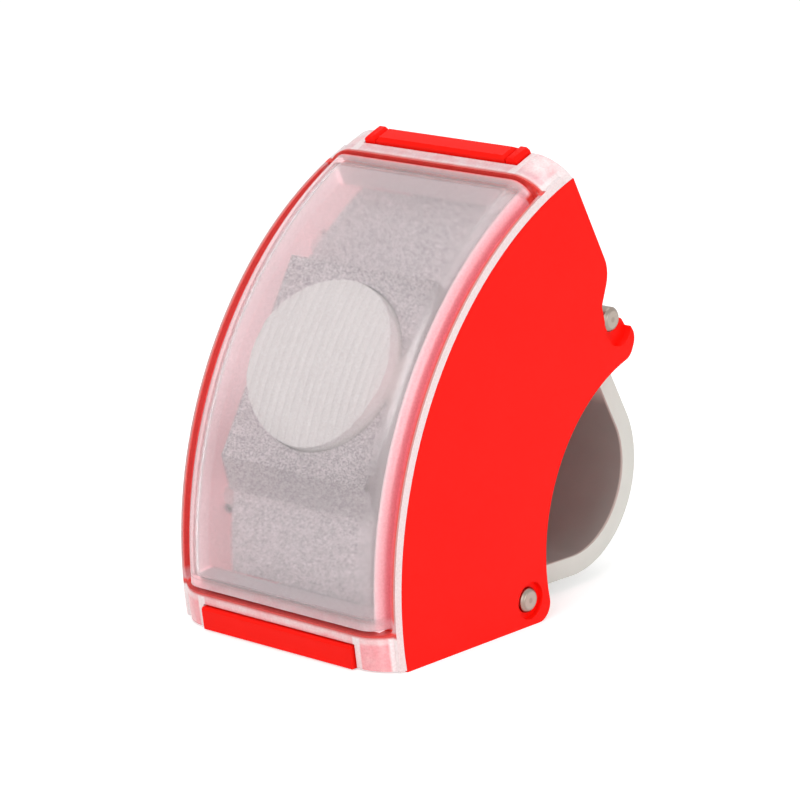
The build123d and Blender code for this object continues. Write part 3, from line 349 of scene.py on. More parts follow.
# where the outer edge's painted pale highlight lies
OUTER_HIGHLIGHT_SHARE = ((16.4, 0.0), (16.42, 1.0))       # where the outer edge's look beats all others
SHOULDER_BLUR = ((12.2, 0.0), (12.7, 0.12))     # roughness that the curve of the shoulder adds
print("looks across the cover:", len(ACROSS_HAZE_AND_PAINTED_LIGHT))

# %% [markdown]
# Above and below the window the cover ends in two bands, each parted from the window by a red groove.
# Their lists run up the arc, in degrees. Their pink and red are painted glow carried from the housing,
# with painted pale highlights along the bands' edges. Where a band's walls stand on edge, beside its
# corner pockets and at the cover's sides, a painted highlight makes them almost white, and the upper
# groove gets painted shade, a duller red, where it turns its corners.

# %% The cover's looks at its two ends
END_PAINTED_LIGHT = (
    (-20.0, "FFBDC1"), (-7.3, "FFBDC1"),                        # lower band
    # painted highlight: the pale edge of the lower band
    (-7.1, "FFE9E9"), (-6.65, "FFE9E9"),                        # its pale edge
    (-6.6, "D04A44"), (-6.15, "D04A44"),                        # wall of the lower groove
    (-6.1, "F23A30"), (-5.45, "F23A30"),                        # its floor
    (-5.4, "FFE0E4"), (0.0, "FFE0E4"),                          # lower shoulder of the window
    (60.0, "F6DDE2"), (63.7, "F6DDE2"),                         # upper shoulder
    (63.75, "F23A30"), (64.5, "F23A30"),                        # floor of the upper groove
    (64.55, "D4574F"), (64.95, "D4574F"),                       # its wall
    # painted highlight: the pale edge of the upper band
    (65.0, "FFF2F2"), (65.3, "FFF2F2"),                         # pale edge of the upper band
    (65.5, "F3DCE0"), (66.2, "F3DCE0"), (66.4, "FFF6F6"), (90.0, "FFF6F6"),
)
END_CLEARNESS = (
    (-20.0, 0.15), (-6.65, 0.15), (-6.6, 0.05), (-5.45, 0.05), (-5.4, 0.4),
    (63.7, 0.4), (63.75, 0.05), (64.95, 0.05), (65.0, 0.2), (90.0, 0.2),
)
END_SHARE = (
    (-20.0, 1.0), (-5.45, 1.0), (-5.4, 0.85), (-4.6, 0.7), (-3.8, 0.0),
    (61.8, 0.0), (63.7, 0.75), (63.75, 1.0), (90.0, 1.0),
)
BAND_SHARE = ((-6.7, 1.0), (-6.6, 0.0), (64.9, 0.0), (65.0, 1.0))
BAND_WALL_ACROSS = (
    (0.0, 0.0), (11.35, 0.0), (11.4, 1.0), (12.3, 1.0), (12.5, 0.0), (15.4, 0.0), (15.6, 1.0), (17.0, 1.0),
)
# painted highlight on the band walls that stand on edge
BAND_WALL_PAINTED_HIGHLIGHT = "FFF4F4"
BAND_PATCHES = ((NOISE_LOW, "FFDADD"), (NOISE_HIGH, "FFFFFF"))  # cloudy tint of the bands
CORNER_ACROSS = ((14.7, 0.0), (14.9, 1.0), (15.84, 1.0), (15.9, 0.0))
CORNER_ANGLE = ((62.3, 0.0), (62.6, 1.0), (64.5, 1.0), (64.6, 0.0))
# painted shade where the upper groove turns its corners
CORNER_PAINTED_SHADE = "E8463C"
CORNER_CLEARNESS = 0.1
print("looks up the arc:", len(END_PAINTED_LIGHT))

# %% [markdown]
# Through the window one also sees the inner faces of its own walls. The light that the plastic carries
# is painted on them: they are painted milky, pinker the deeper they lie, and the side walls get a painted
# glow like the cheeks do. Heights are in millimetres over the cheeks' front edge.

# %% The cover's looks inside, under the window
INNER_UNDER = ((1.15, 1.0), (1.3, 0.0))         # inner faces lie below this height
INNER_CLEARNESS = 0.12
INNER_SIDE_ACROSS = ((13.13, 0.0), (13.43, 1.0), (14.0, 1.0), (14.05, 0.0))
# painted light: pale near the window, pinker deeper down
INNER_SIDE_PAINTED_GLOW = ((-3.0, "FFB8C0"), (-0.5, "FFD4DA"), (1.2, "FFF3F4"))
NEAR_WINDOW_SHARE = ((-3.0, 0.0), (-0.5, 0.25), (1.2, 0.8))
NEAR_WINDOW_GLOW = "E6DCDE"                     # glow right under the window
INNER_END_ANGLE = (
    (-5.05, 0.0), (-5.0, 1.0), (-3.5, 1.0), (-3.3, 0.0),
    (61.7, 0.0), (61.9, 1.0), (63.35, 1.0), (63.4, 0.0),
)
INNER_END_ACROSS = ((13.95, 1.0), (14.0, 0.0))  # the end walls stop at the side walls
# painted light on the window's inner end walls
INNER_END_PAINTED_LIGHT = ((-5.0, "DDD0D6"), (20.0, "DDD0D6"), (40.0, "F6DFE4"), (63.0, "F6DFE4"))
print("inner walls start at", INNER_SIDE_ACROSS[1][0], "mm from the middle")

# %% [markdown]
# The lists come together zone by zone. A zone is a share, which says where it lies, with a colour and a
# clearness. The zones are laid over each other in order, so the one that matters most at a place comes
# last. The same could be painted as two pictures, but a zone is easier to move while it is a few numbers.

# %% Zones of the cover
def inner_side_share(tree, across, over):
    """Share that is 1 on the inner faces of the window's side walls."""
    return where_all(tree, along(tree, across, INNER_SIDE_ACROSS), along(tree, over, INNER_UNDER))


def cover_zones(tree, across, over, angle, cloud):
    """Share, colour and clearness of each zone that is laid over the window, in order."""
    inside = along(tree, over, INNER_UNDER)
    inner_side = inner_side_share(tree, across, over)
    inner_end = where_all(
        tree, along(tree, angle, INNER_END_ANGLE), inside, along(tree, across, INNER_END_ACROSS)
    )
    band_wall = where_all(tree, along(tree, across, BAND_WALL_ACROSS), along(tree, angle, BAND_SHARE))
    corner = where_all(tree, along(tree, across, CORNER_ACROSS), along(tree, angle, CORNER_ANGLE))
    patches = along(tree, cloud, BAND_PATCHES)
    ends = layered(tree, along(tree, angle, END_PAINTED_LIGHT), [(1.0, patches)], "MULTIPLY")
    ends = layered(tree, ends, [(band_wall, BAND_WALL_PAINTED_HIGHLIGHT)])
    return (
        (along(tree, angle, END_SHARE), ends, along(tree, angle, END_CLEARNESS)),
        (inner_end, along(tree, angle, INNER_END_PAINTED_LIGHT), INNER_CLEARNESS),
        (inner_side, along(tree, over, INNER_SIDE_PAINTED_GLOW), INNER_CLEARNESS),
        (corner, CORNER_PAINTED_SHADE, CORNER_CLEARNESS),
        (along(tree, across, OUTER_HIGHLIGHT_SHARE), ACROSS_HAZE_AND_PAINTED_LIGHT[-1][1], ACROSS_CLEARNESS[-1][1]),
    )


def carried_glow(tree, across, over, angle):
    """Glow of the window's inner side walls, palest right under the window."""
    near_window = along(tree, over, NEAR_WINDOW_SHARE)
    glow = layered(tree, along(tree, angle, CARRIED_GLOW_COLOURS), [(near_window, NEAR_WINDOW_GLOW)])
    return layered(tree, 0.0, [(inner_side_share(tree, across, over), glow)])


print("the cover's zones are ready")

# %% [markdown]
# The finish itself is one plastic whose painted colour and clearness follow those zones. Two noises vary
# it: a fine one for the frost, drawn coarser than the real frost so that it shows, and a broad one for the
# cloudy bands. A little sheen adds the pale veil that a matt moulding has at a flat angle.

# %% Hazy clear polycarbonate
FROST_GRAIN_MM = 0.25
FROST_CLOUD_MM = 1.6
FROST_COLOURS = ((NOISE_LOW, "F2ECEC"), (NOISE_HIGH, "FFFFFF"))
FROST_ROUGHNESS = (0.1, 0.15)


def hazy_polycarbonate(name):
    """Clear polycarbonate, hazy, with painted pink, red and pale light by its place on the cover."""
    material, tree, shader, place = new_finish(name)
    across, over, angle = front_places(tree, place)
    fine = add_node(
        tree,
        "ShaderNodeTexNoise",
        {"Vector": place, "Scale": per_metre(FROST_GRAIN_MM), "Detail": FINE_DETAIL},
        "Fac",
    )
    cloud = add_node(
        tree, "ShaderNodeTexNoise", {"Vector": place, "Scale": per_metre(FROST_CLOUD_MM)}, "Fac"
    )
    zones = cover_zones(tree, across, over, angle, cloud)
    colour = layered(
        tree, along(tree, across, ACROSS_HAZE_AND_PAINTED_LIGHT), [(share, shade) for share, shade, clear in zones]
    )
    clearness = layered(
        tree, along(tree, across, ACROSS_CLEARNESS), [(share, clear) for share, shade, clear in zones]
    )
    low, high = FROST_ROUGHNESS
    frost = add_node(tree, "ShaderNodeMapRange", {"Value": fine, "To Min": low, "To Max": high}, "Result")
    blur = along(tree, across, SHOULDER_BLUR)
    rough = add_node(tree, "ShaderNodeMath", {"Value": frost, "Value_001": blur}, "Value", operation="ADD")
    feed(tree, shader, {
        "Base Color": layered(tree, colour, [(1.0, along(tree, fine, FROST_COLOURS))], "MULTIPLY"),
        "Transmission Weight": clearness,
        "Emission Color": carried_glow(tree, across, over, angle),
        "Emission Strength": CARRIED_LIGHT,
        "Roughness": rough,
        "IOR": 1.58,
        "Specular IOR Level": 0.35,
        "Sheen Weight": 0.3,
        "Sheen Roughness": 0.4,
    })
    return material


cover_clear = hazy_polycarbonate("hazy_polycarbonate_clear")
print("finish:", cover_clear.name)

# %% [markdown]
# The mask behind the window is ABS, painted with metal flake. Each flake is a small mirror at its own
# tilt, which gives the sparkle. Real flakes could be scattered as geometry, but a cell pattern does it in
# one node: cells of 0.11 mm, coarser than the real flake so that they show, each with a random
# brightness, roughness and height. Painted shade darkens the colour where a surface turns away from the
# front: on the walls, on the sides of the raised pad and, a little, on the ramp.

# %% Silver flake paint
FLAKE_MM = 0.11
FLAKE_BUMP_MM = 0.012
FLAKE_COLOURS = ((NOISE_LOW, "958B90"), (NOISE_HIGH, "FCF3F7"))
FLAKE_ROUGHNESS = (0.3, 0.6)
FLAKE_METALLIC = 0.55                           # metal flake in a clear lacquer
RAMP_PAINTED_SHADE = ((8.6, 1.0), (8.9, 0.78), (13.7, 0.78), (14.0, 1.0))      # by degrees up the arc
WALL_PAINTED_SHADE = ((-1.65, 0.34), (-1.5, 1.0))      # by millimetres over the front edge
PAD_SIDE_PAINTED_SHADE = ((10.84, 1.0), (10.88, 0.34))  # by millimetres from the middle plane


def silver_flake_paint(name):
    """Grey metallic paint with a fine sparkle and painted shade on its walls, pad sides and ramp."""
    material, tree, shader, place = new_finish(name)
    across, over, angle = front_places(tree, place)
    flake = add_node(
        tree, "ShaderNodeTexVoronoi", {"Vector": place, "Scale": per_metre(FLAKE_MM)}, "Color"
    )
    tone = add_node(tree, "ShaderNodeSeparateColor", {"Color": flake}).outputs
    # Painted shade on the ramp, the walls and the pad's sides.
    ramp = along(tree, angle, RAMP_PAINTED_SHADE)
    sides = layered(
        tree, along(tree, over, WALL_PAINTED_SHADE), [(1.0, along(tree, across, PAD_SIDE_PAINTED_SHADE))], "DARKEN"
    )
    low, high = FLAKE_ROUGHNESS
    rough = add_node(
        tree, "ShaderNodeMapRange", {"Value": tone["Green"], "To Min": low, "To Max": high}, "Result"
    )
    bump = add_node(
        tree, "ShaderNodeBump", {"Height": tone["Blue"], "Distance": FLAKE_BUMP_MM * MM}, "Normal"
    )
    silver = along(tree, tone["Red"], FLAKE_COLOURS)
    feed(tree, shader, {
        "Base Color": layered(tree, silver, [(1.0, ramp), (1.0, sides)], "MULTIPLY"),
        "Roughness": rough,
        "Normal": bump,
        "Metallic": FLAKE_METALLIC,
    })
    return material


mask_silver = silver_flake_paint("silver_flake_paint_on_abs")
print("finish:", mask_silver.name)

# %% [markdown]
# The lens is moulded acrylic with a satin face; its white is painted light that the holder behind it gives.
# Fully clear, it would show the dark inside of the lamp, so it is mostly milky, which also lets the flutes
# shade it.

# %% Satin acrylic of the lens
LENS_PAINTED_LIGHT = ((NOISE_LOW, "F7F6F3"), (NOISE_HIGH, "FFFFFD"))
LENS_ROUGHNESS = (0.2, 0.3)


def satin_acrylic(name):
    """Milky acrylic with a satin face, painted white for the light behind it."""
    material, tree, shader, place = new_finish(name)
    fine = add_node(
        tree, "ShaderNodeTexNoise", {"Vector": place, "Scale": per_metre(FROST_GRAIN_MM)}, "Fac"
    )
    low, high = LENS_ROUGHNESS
    rough = add_node(tree, "ShaderNodeMapRange", {"Value": fine, "To Min": low, "To Max": high}, "Result")
    feed(tree, shader, {
        "Base Color": along(tree, fine, LENS_PAINTED_LIGHT),
        "Roughness": rough,
        "IOR": 1.49,
        "Transmission Weight": 0.05,
    })
    return material


lens_acrylic = satin_acrylic("satin_acrylic_lens")
print("finish:", lens_acrylic.name)

# %% [markdown]
# The pieces inside the lamp are hardly seen, but the model is also opened up, so each has its own
# material: mouldings, boards, foil and metals. At this size they differ mainly in colour, gloss and metal,
# so they share one recipe: a fine grain, drawn coarser than the real one, in colour, gloss and height.
# The frame's screws have the pale, matt zinc-flake coat of rust-proofed fasteners.

# %% Finishes of the pieces inside
INNER_GLOSS_SPREAD = 0.06
INNER_BUMP_MM = 0.01


def plain_surface(name, main, other, gloss, grain_mm=0.3, metal=0.0):
    """Moulded, rolled or coated surface with fine grain."""
    material, tree, shader, place = new_finish(name)
    fine = add_node(
        tree,
        "ShaderNodeTexNoise",
        {"Vector": place, "Scale": per_metre(grain_mm), "Detail": FINE_DETAIL},
        "Fac",
    )
    low, high = gloss - INNER_GLOSS_SPREAD, gloss + INNER_GLOSS_SPREAD
    rough = add_node(tree, "ShaderNodeMapRange", {"Value": fine, "To Min": low, "To Max": high}, "Result")
    bump = add_node(tree, "ShaderNodeBump", {"Height": fine, "Distance": INNER_BUMP_MM * MM}, "Normal")
    feed(tree, shader, {
        "Base Color": along(tree, fine, ((NOISE_LOW, main), (NOISE_HIGH, other))),
        "Roughness": rough,
        "Normal": bump,
        "Metallic": metal,
    })
    return material


holder_white = plain_surface("moulded_polycarbonate_white", "E9E7E2", "F3F1EC", gloss=0.5)
phosphor = plain_surface("led_phosphor_under_silicone", "F2D35A", "F7E08A", gloss=0.25)
board_white = plain_surface("white_masked_aluminium_board", "DDDDDA", "E8E8E4", gloss=0.4)
board_green = plain_surface("green_masked_glass_fibre", "0F5A32", "166B3D", gloss=0.35)
nylon_grey = plain_surface("moulded_nylon_dark_grey", "35363A", "3D3E42", gloss=0.6)
package_black = plain_surface("moulded_epoxy_black", "161616", "202020", gloss=0.5)
foam_grey = plain_surface("closed_cell_foam", "2A2A2C", "3A3A3C", gloss=0.9)
silicone_dark = plain_surface("moulded_silicone_dark", "3C3C3E", "48484A", gloss=0.7)
cell_foil = plain_surface("laminated_foil", "A9ABAE", "BCBEC1", gloss=0.35, grain_mm=1.5, metal=1.0)
milled_aluminium = plain_surface(
    "milled_aluminium", "B4B6BA", "C6C8CC", gloss=0.35, grain_mm=0.4, metal=1.0
)
drawn_steel = plain_surface(
    "drawn_stainless_steel", "9EA0A3", "B2B4B7", gloss=0.3, grain_mm=0.4, metal=1.0
)
zinc_flake = plain_surface(
    "zinc_flake_coating_on_steel", "E4D8DB", "F2E6E9", gloss=0.6, grain_mm=0.3, metal=0.3
)
print("finishes of the pieces inside are ready")

# %% [markdown]
# The strap pins are ground stainless steel. Their ends were faced on a lathe, which leaves rings about
# the pin's own axis. Real rings are too fine to show, so one broad, slightly wavy ring stands for them,
# centred on each pin by a mapping node.

# %% Ground steel of the strap pins
RING_MM = 1.3823                     # from one ring to the next
RINGS_PER_METRE = 20 / (2 * pi)      # rings that the wave texture draws in a metre at scale 1
RING_DISTORTION = 0.6
RING_BUMP_MM = 0.003
PIN_COLOURS = ((NOISE_LOW, "9C8F85"), (NOISE_HIGH, "B0A399"))
PIN_ROUGHNESS = (0.28, 0.4)


def ground_steel_pin(name, centre):
    """Satin steel with turned rings about one pin's axis."""
    material, tree, shader, place = new_finish(name)
    centred = add_node(tree, "ShaderNodeMapping", {"Vector": place, "Location": -centre}, "Vector")
    scale = per_metre(RING_MM) / RINGS_PER_METRE
    rings = add_node(
        tree,
        "ShaderNodeTexWave",
        {"Vector": centred, "Scale": scale, "Distortion": RING_DISTORTION},
        "Fac",
        wave_type="RINGS",
        rings_direction="X",
    )
    low, high = PIN_ROUGHNESS
    rough = add_node(tree, "ShaderNodeMapRange", {"Value": rings, "To Min": low, "To Max": high}, "Result")
    bump = add_node(tree, "ShaderNodeBump", {"Height": rings, "Distance": RING_BUMP_MM * MM}, "Normal")
    feed(tree, shader, {
        "Base Color": along(tree, rings, PIN_COLOURS),
        "Roughness": rough,
        "Normal": bump,
        "Metallic": 1.0,
    })
    return material


pin_steel_low = ground_steel_pin("ground_stainless_pin_low", lower_pin_at)
pin_steel_high = ground_steel_pin("ground_stainless_pin_high", upper_pin_at)
print("finishes:", pin_steel_low.name, pin_steel_high.name)

# %% [markdown]
# The strap is matte silicone in a warm grey. A trace of dust makes it uneven, and its inner face, which
# grips the handlebar, gets painted shade that makes it darker than the rest. That face is the part of the
# strap nearest to the middle of its loop, so the distance from there picks it out. The grain is drawn
# coarser than real, so that it shows.

# %% Matte silicone of the strap
SILICONE_GRAIN_MM = 0.35
SILICONE_BUMP_MM = 0.01
DUST_MM = 5.0
DUST_DETAIL = 4.0
DUST_COLOURS = ((NOISE_LOW, "DAD9D2"), (NOISE_HIGH, "E0DFD8"))
SILICONE_ROUGHNESS = (0.55, 0.68)
LOOP_AT_MM = (14.8, 10.6)            # the loop's centre, behind and over the lower pin
# where the painted shade on the loop's inner face lies
SHADED_FAR = ((10.2, 1.0), (11.4, 0.0))         # by millimetres from that centre
SHADED_ACROSS = ((10.9, 1.0), (11.1, 0.0))      # by millimetres from the middle plane
INNER_FACE_PAINTED_SHADE = 0.42

loop_centre = lower_pin_at + Vector((0, *LOOP_AT_MM)) * MM


def matte_silicone(name):
    """Warm grey silicone with a dusty, matte skin and painted shade on the loop's inner face."""
    material, tree, shader, place = new_finish(name)
    dust = add_node(
        tree,
        "ShaderNodeTexNoise",
        {"Vector": place, "Scale": per_metre(DUST_MM), "Detail": DUST_DETAIL},
        "Fac",
    )
    fine = add_node(
        tree,
        "ShaderNodeTexNoise",
        {"Vector": place, "Scale": per_metre(SILICONE_GRAIN_MM), "Detail": FINE_DETAIL},
        "Fac",
    )
    spoke = seen_from_side(tree, place, loop_centre.y / MM, loop_centre.z / MM)
    far = add_node(tree, "ShaderNodeVectorMath", {"Vector": spoke}, "Value", operation="LENGTH")
    across = across_of(tree, place)
    painted_shade = where_all(tree, along(tree, far, SHADED_FAR), along(tree, across, SHADED_ACROSS))
    # painted shade darkens the loop's inner face
    faces = layered(tree, 1.0, [(painted_shade, INNER_FACE_PAINTED_SHADE)])
    low, high = SILICONE_ROUGHNESS
    rough = add_node(tree, "ShaderNodeMapRange", {"Value": fine, "To Min": low, "To Max": high}, "Result")
    bump = add_node(tree, "ShaderNodeBump", {"Height": fine, "Distance": SILICONE_BUMP_MM * MM}, "Normal")
    feed(tree, shader, {
        "Base Color": layered(tree, along(tree, dust, DUST_COLOURS), [(1.0, faces)], "MULTIPLY"),
        "Roughness": rough,
        "Normal": bump,
        "IOR": 1.41,
        "Sheen Weight": 0.15,
        "Sheen Roughness": 0.4,
    })
    return material


strap_grey = matte_silicone("moulded_silicone_warm_grey")
print("finish:", strap_grey.name, "loop centre", loop_centre)

# %% [markdown]
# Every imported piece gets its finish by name, so this list also says what the lamp is made of. Pieces that
# are made the same way share one finish.

# %% Which finish each piece has
FINISHES = {
    "housing": housing_red,
    "lens_cover": cover_clear,
    "power_button": button_red,
    "port_flap": button_red,
    "reflector_mask": mask_silver,
    "main_optic": lens_acrylic,
    "optic_holder": holder_white,
    "led_emitter": phosphor,
    "led_board": board_white,
    "inner_frame": nylon_grey,
    "frame_screws": zinc_flake,
    "heat_spreader": milled_aluminium,
    "main_board": board_green,
    "board_components": package_black,
    "battery_pad": foam_grey,
    "battery_cell": cell_foil,
    "charging_socket": drawn_steel,
    "charge_board": board_green,
    "switch_board": board_green,
    "tact_switch": package_black,
    "switch_plunger": package_black,
    "stem_seal": silicone_dark,
    "flap_seal": silicone_dark,
    "flap_pin": drawn_steel,
    "strap": strap_grey,
    "lower_pin": pin_steel_low,
    "upper_pin": pin_steel_high,
}
print("pieces with a finish:", len(FINISHES))

# %% [markdown]
# A moulding has no razor-sharp edges, and its small rounds are what catch the light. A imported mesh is
# loose triangles, so modifiers weld it, dissolve its flat parts into whole faces, round the sharp edges
# and shade what is left smooth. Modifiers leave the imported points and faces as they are. The clear cover
# is also drawn in a little, because where its faces lie in the same plane as the housing's, both would
# flicker.

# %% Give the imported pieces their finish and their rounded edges
EDGE_ROUND_MM = {
    "housing": 0.16,
    "lens_cover": 0.10,
    "power_button": 0.12,
    "port_flap": 0.12,
    "lower_pin": 0.06,
    "upper_pin": 0.06,
    "reflector_mask": 0.1,
    "main_optic": 0.3,
}
SHRINK_MM = {"lens_cover": 0.07}
WELD_MM = 0.0005
FLAT_DEGREES = 0.4                   # triangles that turn less than this are one flat face
SHARP_DEGREES = 32.0                 # an edge that turns more than this is sharp
EDGE_SEGMENTS = 2


def add_modifier(piece, name, kind, **settings):
    """Add a modifier with its settings to a piece."""
    made = piece.modifiers.new(name, kind)
    for setting, value in settings.items():
        setattr(made, setting, value)
    return made


def finish_packed_piece(name, material):
    """Finish, weld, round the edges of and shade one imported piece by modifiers."""
    piece = nodes[name]
    sharp = radians(SHARP_DEGREES)
    piece.data.materials.clear()
    piece.data.materials.append(material)
    piece.data.polygons.foreach_set("use_smooth", [True] * len(piece.data.polygons))
    add_modifier(piece, "weld", "WELD", merge_threshold=WELD_MM * MM)
    if name in SHRINK_MM:
        inset = -SHRINK_MM[name] * MM
        add_modifier(piece, "clear_of_neighbours", "DISPLACE", mid_level=0.0, strength=inset)
    if name in EDGE_ROUND_MM:
        flat = radians(FLAT_DEGREES)
        add_modifier(piece, "whole_faces", "DECIMATE", decimate_type="DISSOLVE", angle_limit=flat)
        add_modifier(
            piece,
            "rounded_edges",
            "BEVEL",
            width=EDGE_ROUND_MM[name] * MM,
            segments=EDGE_SEGMENTS,
            limit_method="ANGLE",
            angle_limit=sharp,
        )
        add_modifier(piece, "even_shading", "WEIGHTED_NORMAL")
    add_modifier(piece, "sharp_edges", "EDGE_SPLIT", split_angle=sharp)


for name, material in FINISHES.items():
    finish_packed_piece(name, material)
print("finished", len(FINISHES), "packed pieces")

# %% [markdown]
# The strap is soft, so it is modelled here as its own piece. It could be a curve with a thick profile,
# but it is made as a mould maker would draw it: a slab that leaves the lower pin, a round loop, and a
# straight run up to the hook. A few helpers select faces and apply modifiers as one would by hand.

# %% Helpers for modelling
FACES_ALONG = 0.99                   # a face whose normal agrees this well with a direction faces along it


def deselect_all():
    """Nothing stays selected or active."""
    bpy.ops.object.select_all(action="DESELECT")
    bpy.context.view_layer.objects.active = None


def activate(piece):
    """Only this piece is selected and active."""
    deselect_all()
    piece.select_set(True)
    bpy.context.view_layer.objects.active = piece


def select_end(piece, direction):
    """In edit mode, select the face that faces a direction and lies furthest along it."""
    bpy.ops.object.mode_set(mode="EDIT")
    bpy.ops.mesh.select_all(action="DESELECT")
    bpy.ops.object.mode_set(mode="OBJECT")
    faces = [face for face in piece.data.polygons if face.normal.dot(direction) > FACES_ALONG]
    max(faces, key=lambda face: face.center.dot(direction)).select = True
    bpy.ops.object.mode_set(mode="EDIT")


def apply_modifier(piece, kind, **settings):
    """Add a modifier with its settings and apply it."""
    made = add_modifier(piece, kind.lower(), kind, **settings)
    activate(piece)
    bpy.ops.object.modifier_apply(modifier=made.name)


def cylinder_across(name, centre, radius_mm, width_mm, sides):
    """Cylinder along X about a point."""
    deselect_all()
    bpy.ops.mesh.primitive_cylinder_add(
        vertices=sides, radius=radius_mm * MM, depth=width_mm * MM, location=centre, rotation=(0, pi / 2, 0)
    )
    made = bpy.context.object
    made.name = name
    bpy.ops.object.transform_apply(location=True, rotation=True, scale=True)
    return made


print("helpers for modelling are ready")

# %% [markdown]
# A straight run has to meet the round loop without a kink, so it leaves each pin along the line that
# touches the loop's circle. Half of the lower run is a slab, the other half is extruded from its end
# face, which is then spun about the loop's centre, and one more extrusion reaches the upper pin.

# %% Runs and loop of the strap
STRAP_WIDTH_MM = 22.6
STRAP_THICK_MM = 2.4
LOOP_R_MM = 10.85                    # to the middle of the strap's thickness
LOOP_STEPS = 64
MERGE_MM = 0.001                     # points nearer than this are one


def touching_run(pin, side):
    """Direction and length of a straight run from a pin to where it touches the loop's circle."""
    away = loop_centre - pin
    far = hypot(away.y, away.z)
    reach = LOOP_R_MM * MM
    angle = atan2(away.z, away.y) + side * asin(reach / far)
    return Vector((0, cos(angle), sin(angle))), sqrt(far**2 - reach**2)


low_run, low_length = touching_run(lower_pin_at, -1)
high_run, high_length = touching_run(upper_pin_at, 1)
full_turn = 2 * pi
low_angle = atan2(low_run.z, low_run.y)
high_angle = atan2(-high_run.z, -high_run.y)
loop_turn = full_turn - (low_angle - high_angle) % full_turn
half_length = low_length / 2

deselect_all()
bpy.ops.mesh.primitive_cube_add(size=1, location=lower_pin_at + low_run * half_length / 2)
strap = bpy.context.object
strap.name = "strap_band"
strap.scale = (STRAP_WIDTH_MM * MM, half_length, STRAP_THICK_MM * MM)
strap.rotation_euler = (low_angle, 0, 0)
bpy.ops.object.transform_apply(location=True, rotation=True, scale=True)
select_end(strap, low_run)
bpy.ops.mesh.extrude_region_move(TRANSFORM_OT_translate={"value": low_run * half_length})
bpy.ops.mesh.spin(steps=LOOP_STEPS, angle=-loop_turn, center=loop_centre, axis=(1, 0, 0))
select_end(strap, -high_run)
bpy.ops.mesh.extrude_region_move(TRANSFORM_OT_translate={"value": -high_run * high_length})
bpy.ops.mesh.select_all(action="SELECT")
bpy.ops.mesh.remove_doubles(threshold=MERGE_MM * MM)
bpy.ops.mesh.normals_make_consistent(inside=False)
bpy.ops.object.mode_set(mode="OBJECT")
print("strap faces before its eyes:", len(strap.data.polygons))

# %% [markdown]
# At each end the rubber swells into an eye round its pin. A cylinder is joined on and a thinner one is
# cut out for the pin, and the moulding's soft edge comes last, so that it also goes round the eyes.

# %% Eyes, bores and soft edges of the strap
EYE_R_MM = 2.85
BORE_R_MM = 1.55
EYE_SIDES = 72
BORE_SIDES = 48
STRAP_EDGE_MM = 0.5
STRAP_EDGE_SEGMENTS = 4
STRAP_SHARP_DEGREES = 50.0
STRAP_SMOOTH_DEGREES = 35.0

for name, centre in (("eye_low", lower_pin_at), ("eye_high", upper_pin_at)):
    for radius_mm, width_mm, sides, operation in (
        (EYE_R_MM, STRAP_WIDTH_MM, EYE_SIDES, "UNION"),
        (BORE_R_MM, 2 * STRAP_WIDTH_MM, BORE_SIDES, "DIFFERENCE"),
    ):
        cylinder = cylinder_across(name, centre, radius_mm, width_mm, sides)
        apply_modifier(strap, "BOOLEAN", operation=operation, object=cylinder, solver="EXACT")
        bpy.data.objects.remove(cylinder)
apply_modifier(
    strap,
    "BEVEL",
    width=STRAP_EDGE_MM * MM,
    segments=STRAP_EDGE_SEGMENTS,
    limit_method="ANGLE",
    angle_limit=radians(STRAP_SHARP_DEGREES),
)
activate(strap)
bpy.ops.object.shade_smooth_by_angle(angle=radians(STRAP_SMOOTH_DEGREES))
strap.data.materials.append(strap_grey)
print("strap faces", len(strap.data.polygons))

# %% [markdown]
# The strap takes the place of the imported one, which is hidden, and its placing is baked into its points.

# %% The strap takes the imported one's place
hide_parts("strap")
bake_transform(strap)
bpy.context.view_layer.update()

# %% [markdown]
# The lamp stands on a pale floor in a white studio. The camera sees the floor and the world as white, and
# so do mirrors and clear pieces, while the light that falls on the lamp stays at a plain level. More
# light would whiten the background too, but it would bleach the lamp with it.

# %% Floor and world
FLOOR_HALF = 3.0                     # metres
FLOOR_COLOUR = "E6E6E6"
FLOOR_ROUGHNESS = 0.9
FLOOR_GLOW = 0.5
WORLD_LEVEL = 0.4


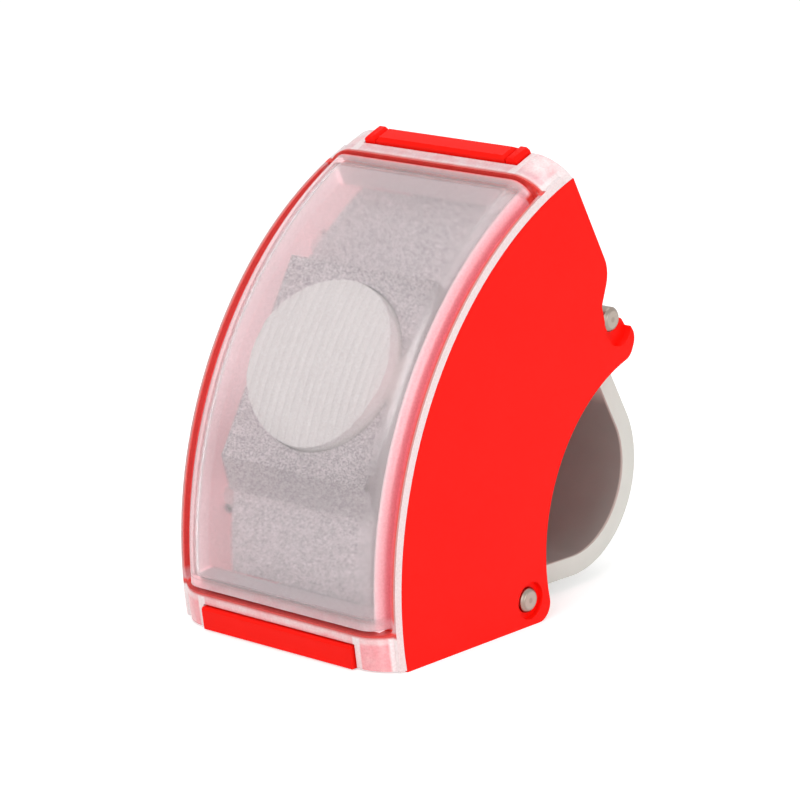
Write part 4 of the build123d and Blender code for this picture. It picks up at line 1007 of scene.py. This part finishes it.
def seen_directly(tree, low, high):
    """high for camera, glossy and transmitted rays, and low for the rays that light the scene."""
    path = add_node(tree, "ShaderNodeLightPath").outputs
    seen = path["Is Camera Ray"]
    for ray in ("Is Glossy Ray", "Is Transmission Ray"):
        seen = add_node(
            tree, "ShaderNodeMath", {"Value": seen, "Value_001": path[ray]}, "Value", operation="MAXIMUM"
        )
    return add_node(tree, "ShaderNodeMapRange", {"Value": seen, "To Min": low, "To Max": high}, "Result")


deselect_all()
bpy.ops.mesh.primitive_plane_add(size=2 * FLOOR_HALF, location=(0, 0, 0))
floor = bpy.context.object
floor.name = "studio_floor"
paper, tree, shader = new_finish("white_studio_paper")[:3]
feed(tree, shader, {
    "Base Color": linear(FLOOR_COLOUR),
    "Roughness": FLOOR_ROUGHNESS,
    "Emission Color": WHITE,
    "Emission Strength": seen_directly(tree, 0.0, FLOOR_GLOW),
})
floor.data.materials.append(paper)

world = bpy.data.worlds.new("white_studio")
scene.world = world
world.use_nodes = True
tree = world.node_tree
feed(tree, tree.nodes["Background"], {
    "Color": WHITE,
    "Strength": seen_directly(tree, WORLD_LEVEL, 1.0),
})
print("floor", floor.name, "world", world.name)

# %% [markdown]
# Four square lamps, as large as a studio's soft boxes, light it: the key from the front and above, a
# weaker fill beside the camera, one overhead for the top edges, and one at the side for the red cheek. A
# sun or a point would be simpler, but its hard shadows would show in the window.

# %% Lamps
LAMPS = {
    "key": {"at": (0.12, -0.78, 0.68), "size": 0.6, "power": 4.3},     # metres, metres and watts
    "fill": {"at": (0.5, -0.7, 0.3), "size": 0.7, "power": 2.0},
    "top": {"at": (0.0, 0.15, 0.9), "size": 0.7, "power": 2.0},
    "side": {"at": (1.0, 0.0, 0.15), "size": 0.5, "power": 3.2},
}
AIM_AT = Vector((0, 0, 0.03))        # metres: the middle of the headlight

for name, soft_box in LAMPS.items():
    data = bpy.data.lights.new(name, "AREA")
    data.energy = soft_box["power"]
    data.size = soft_box["size"]
    lamp = bpy.data.objects.new(name, data)
    lamp.location = soft_box["at"]
    lamp.rotation_euler = (AIM_AT - lamp.location).to_track_quat("-Z", "Y").to_euler()
    scene.collection.objects.link(lamp)
scene.view_settings.view_transform = "Standard"
print("lamps", len(LAMPS))
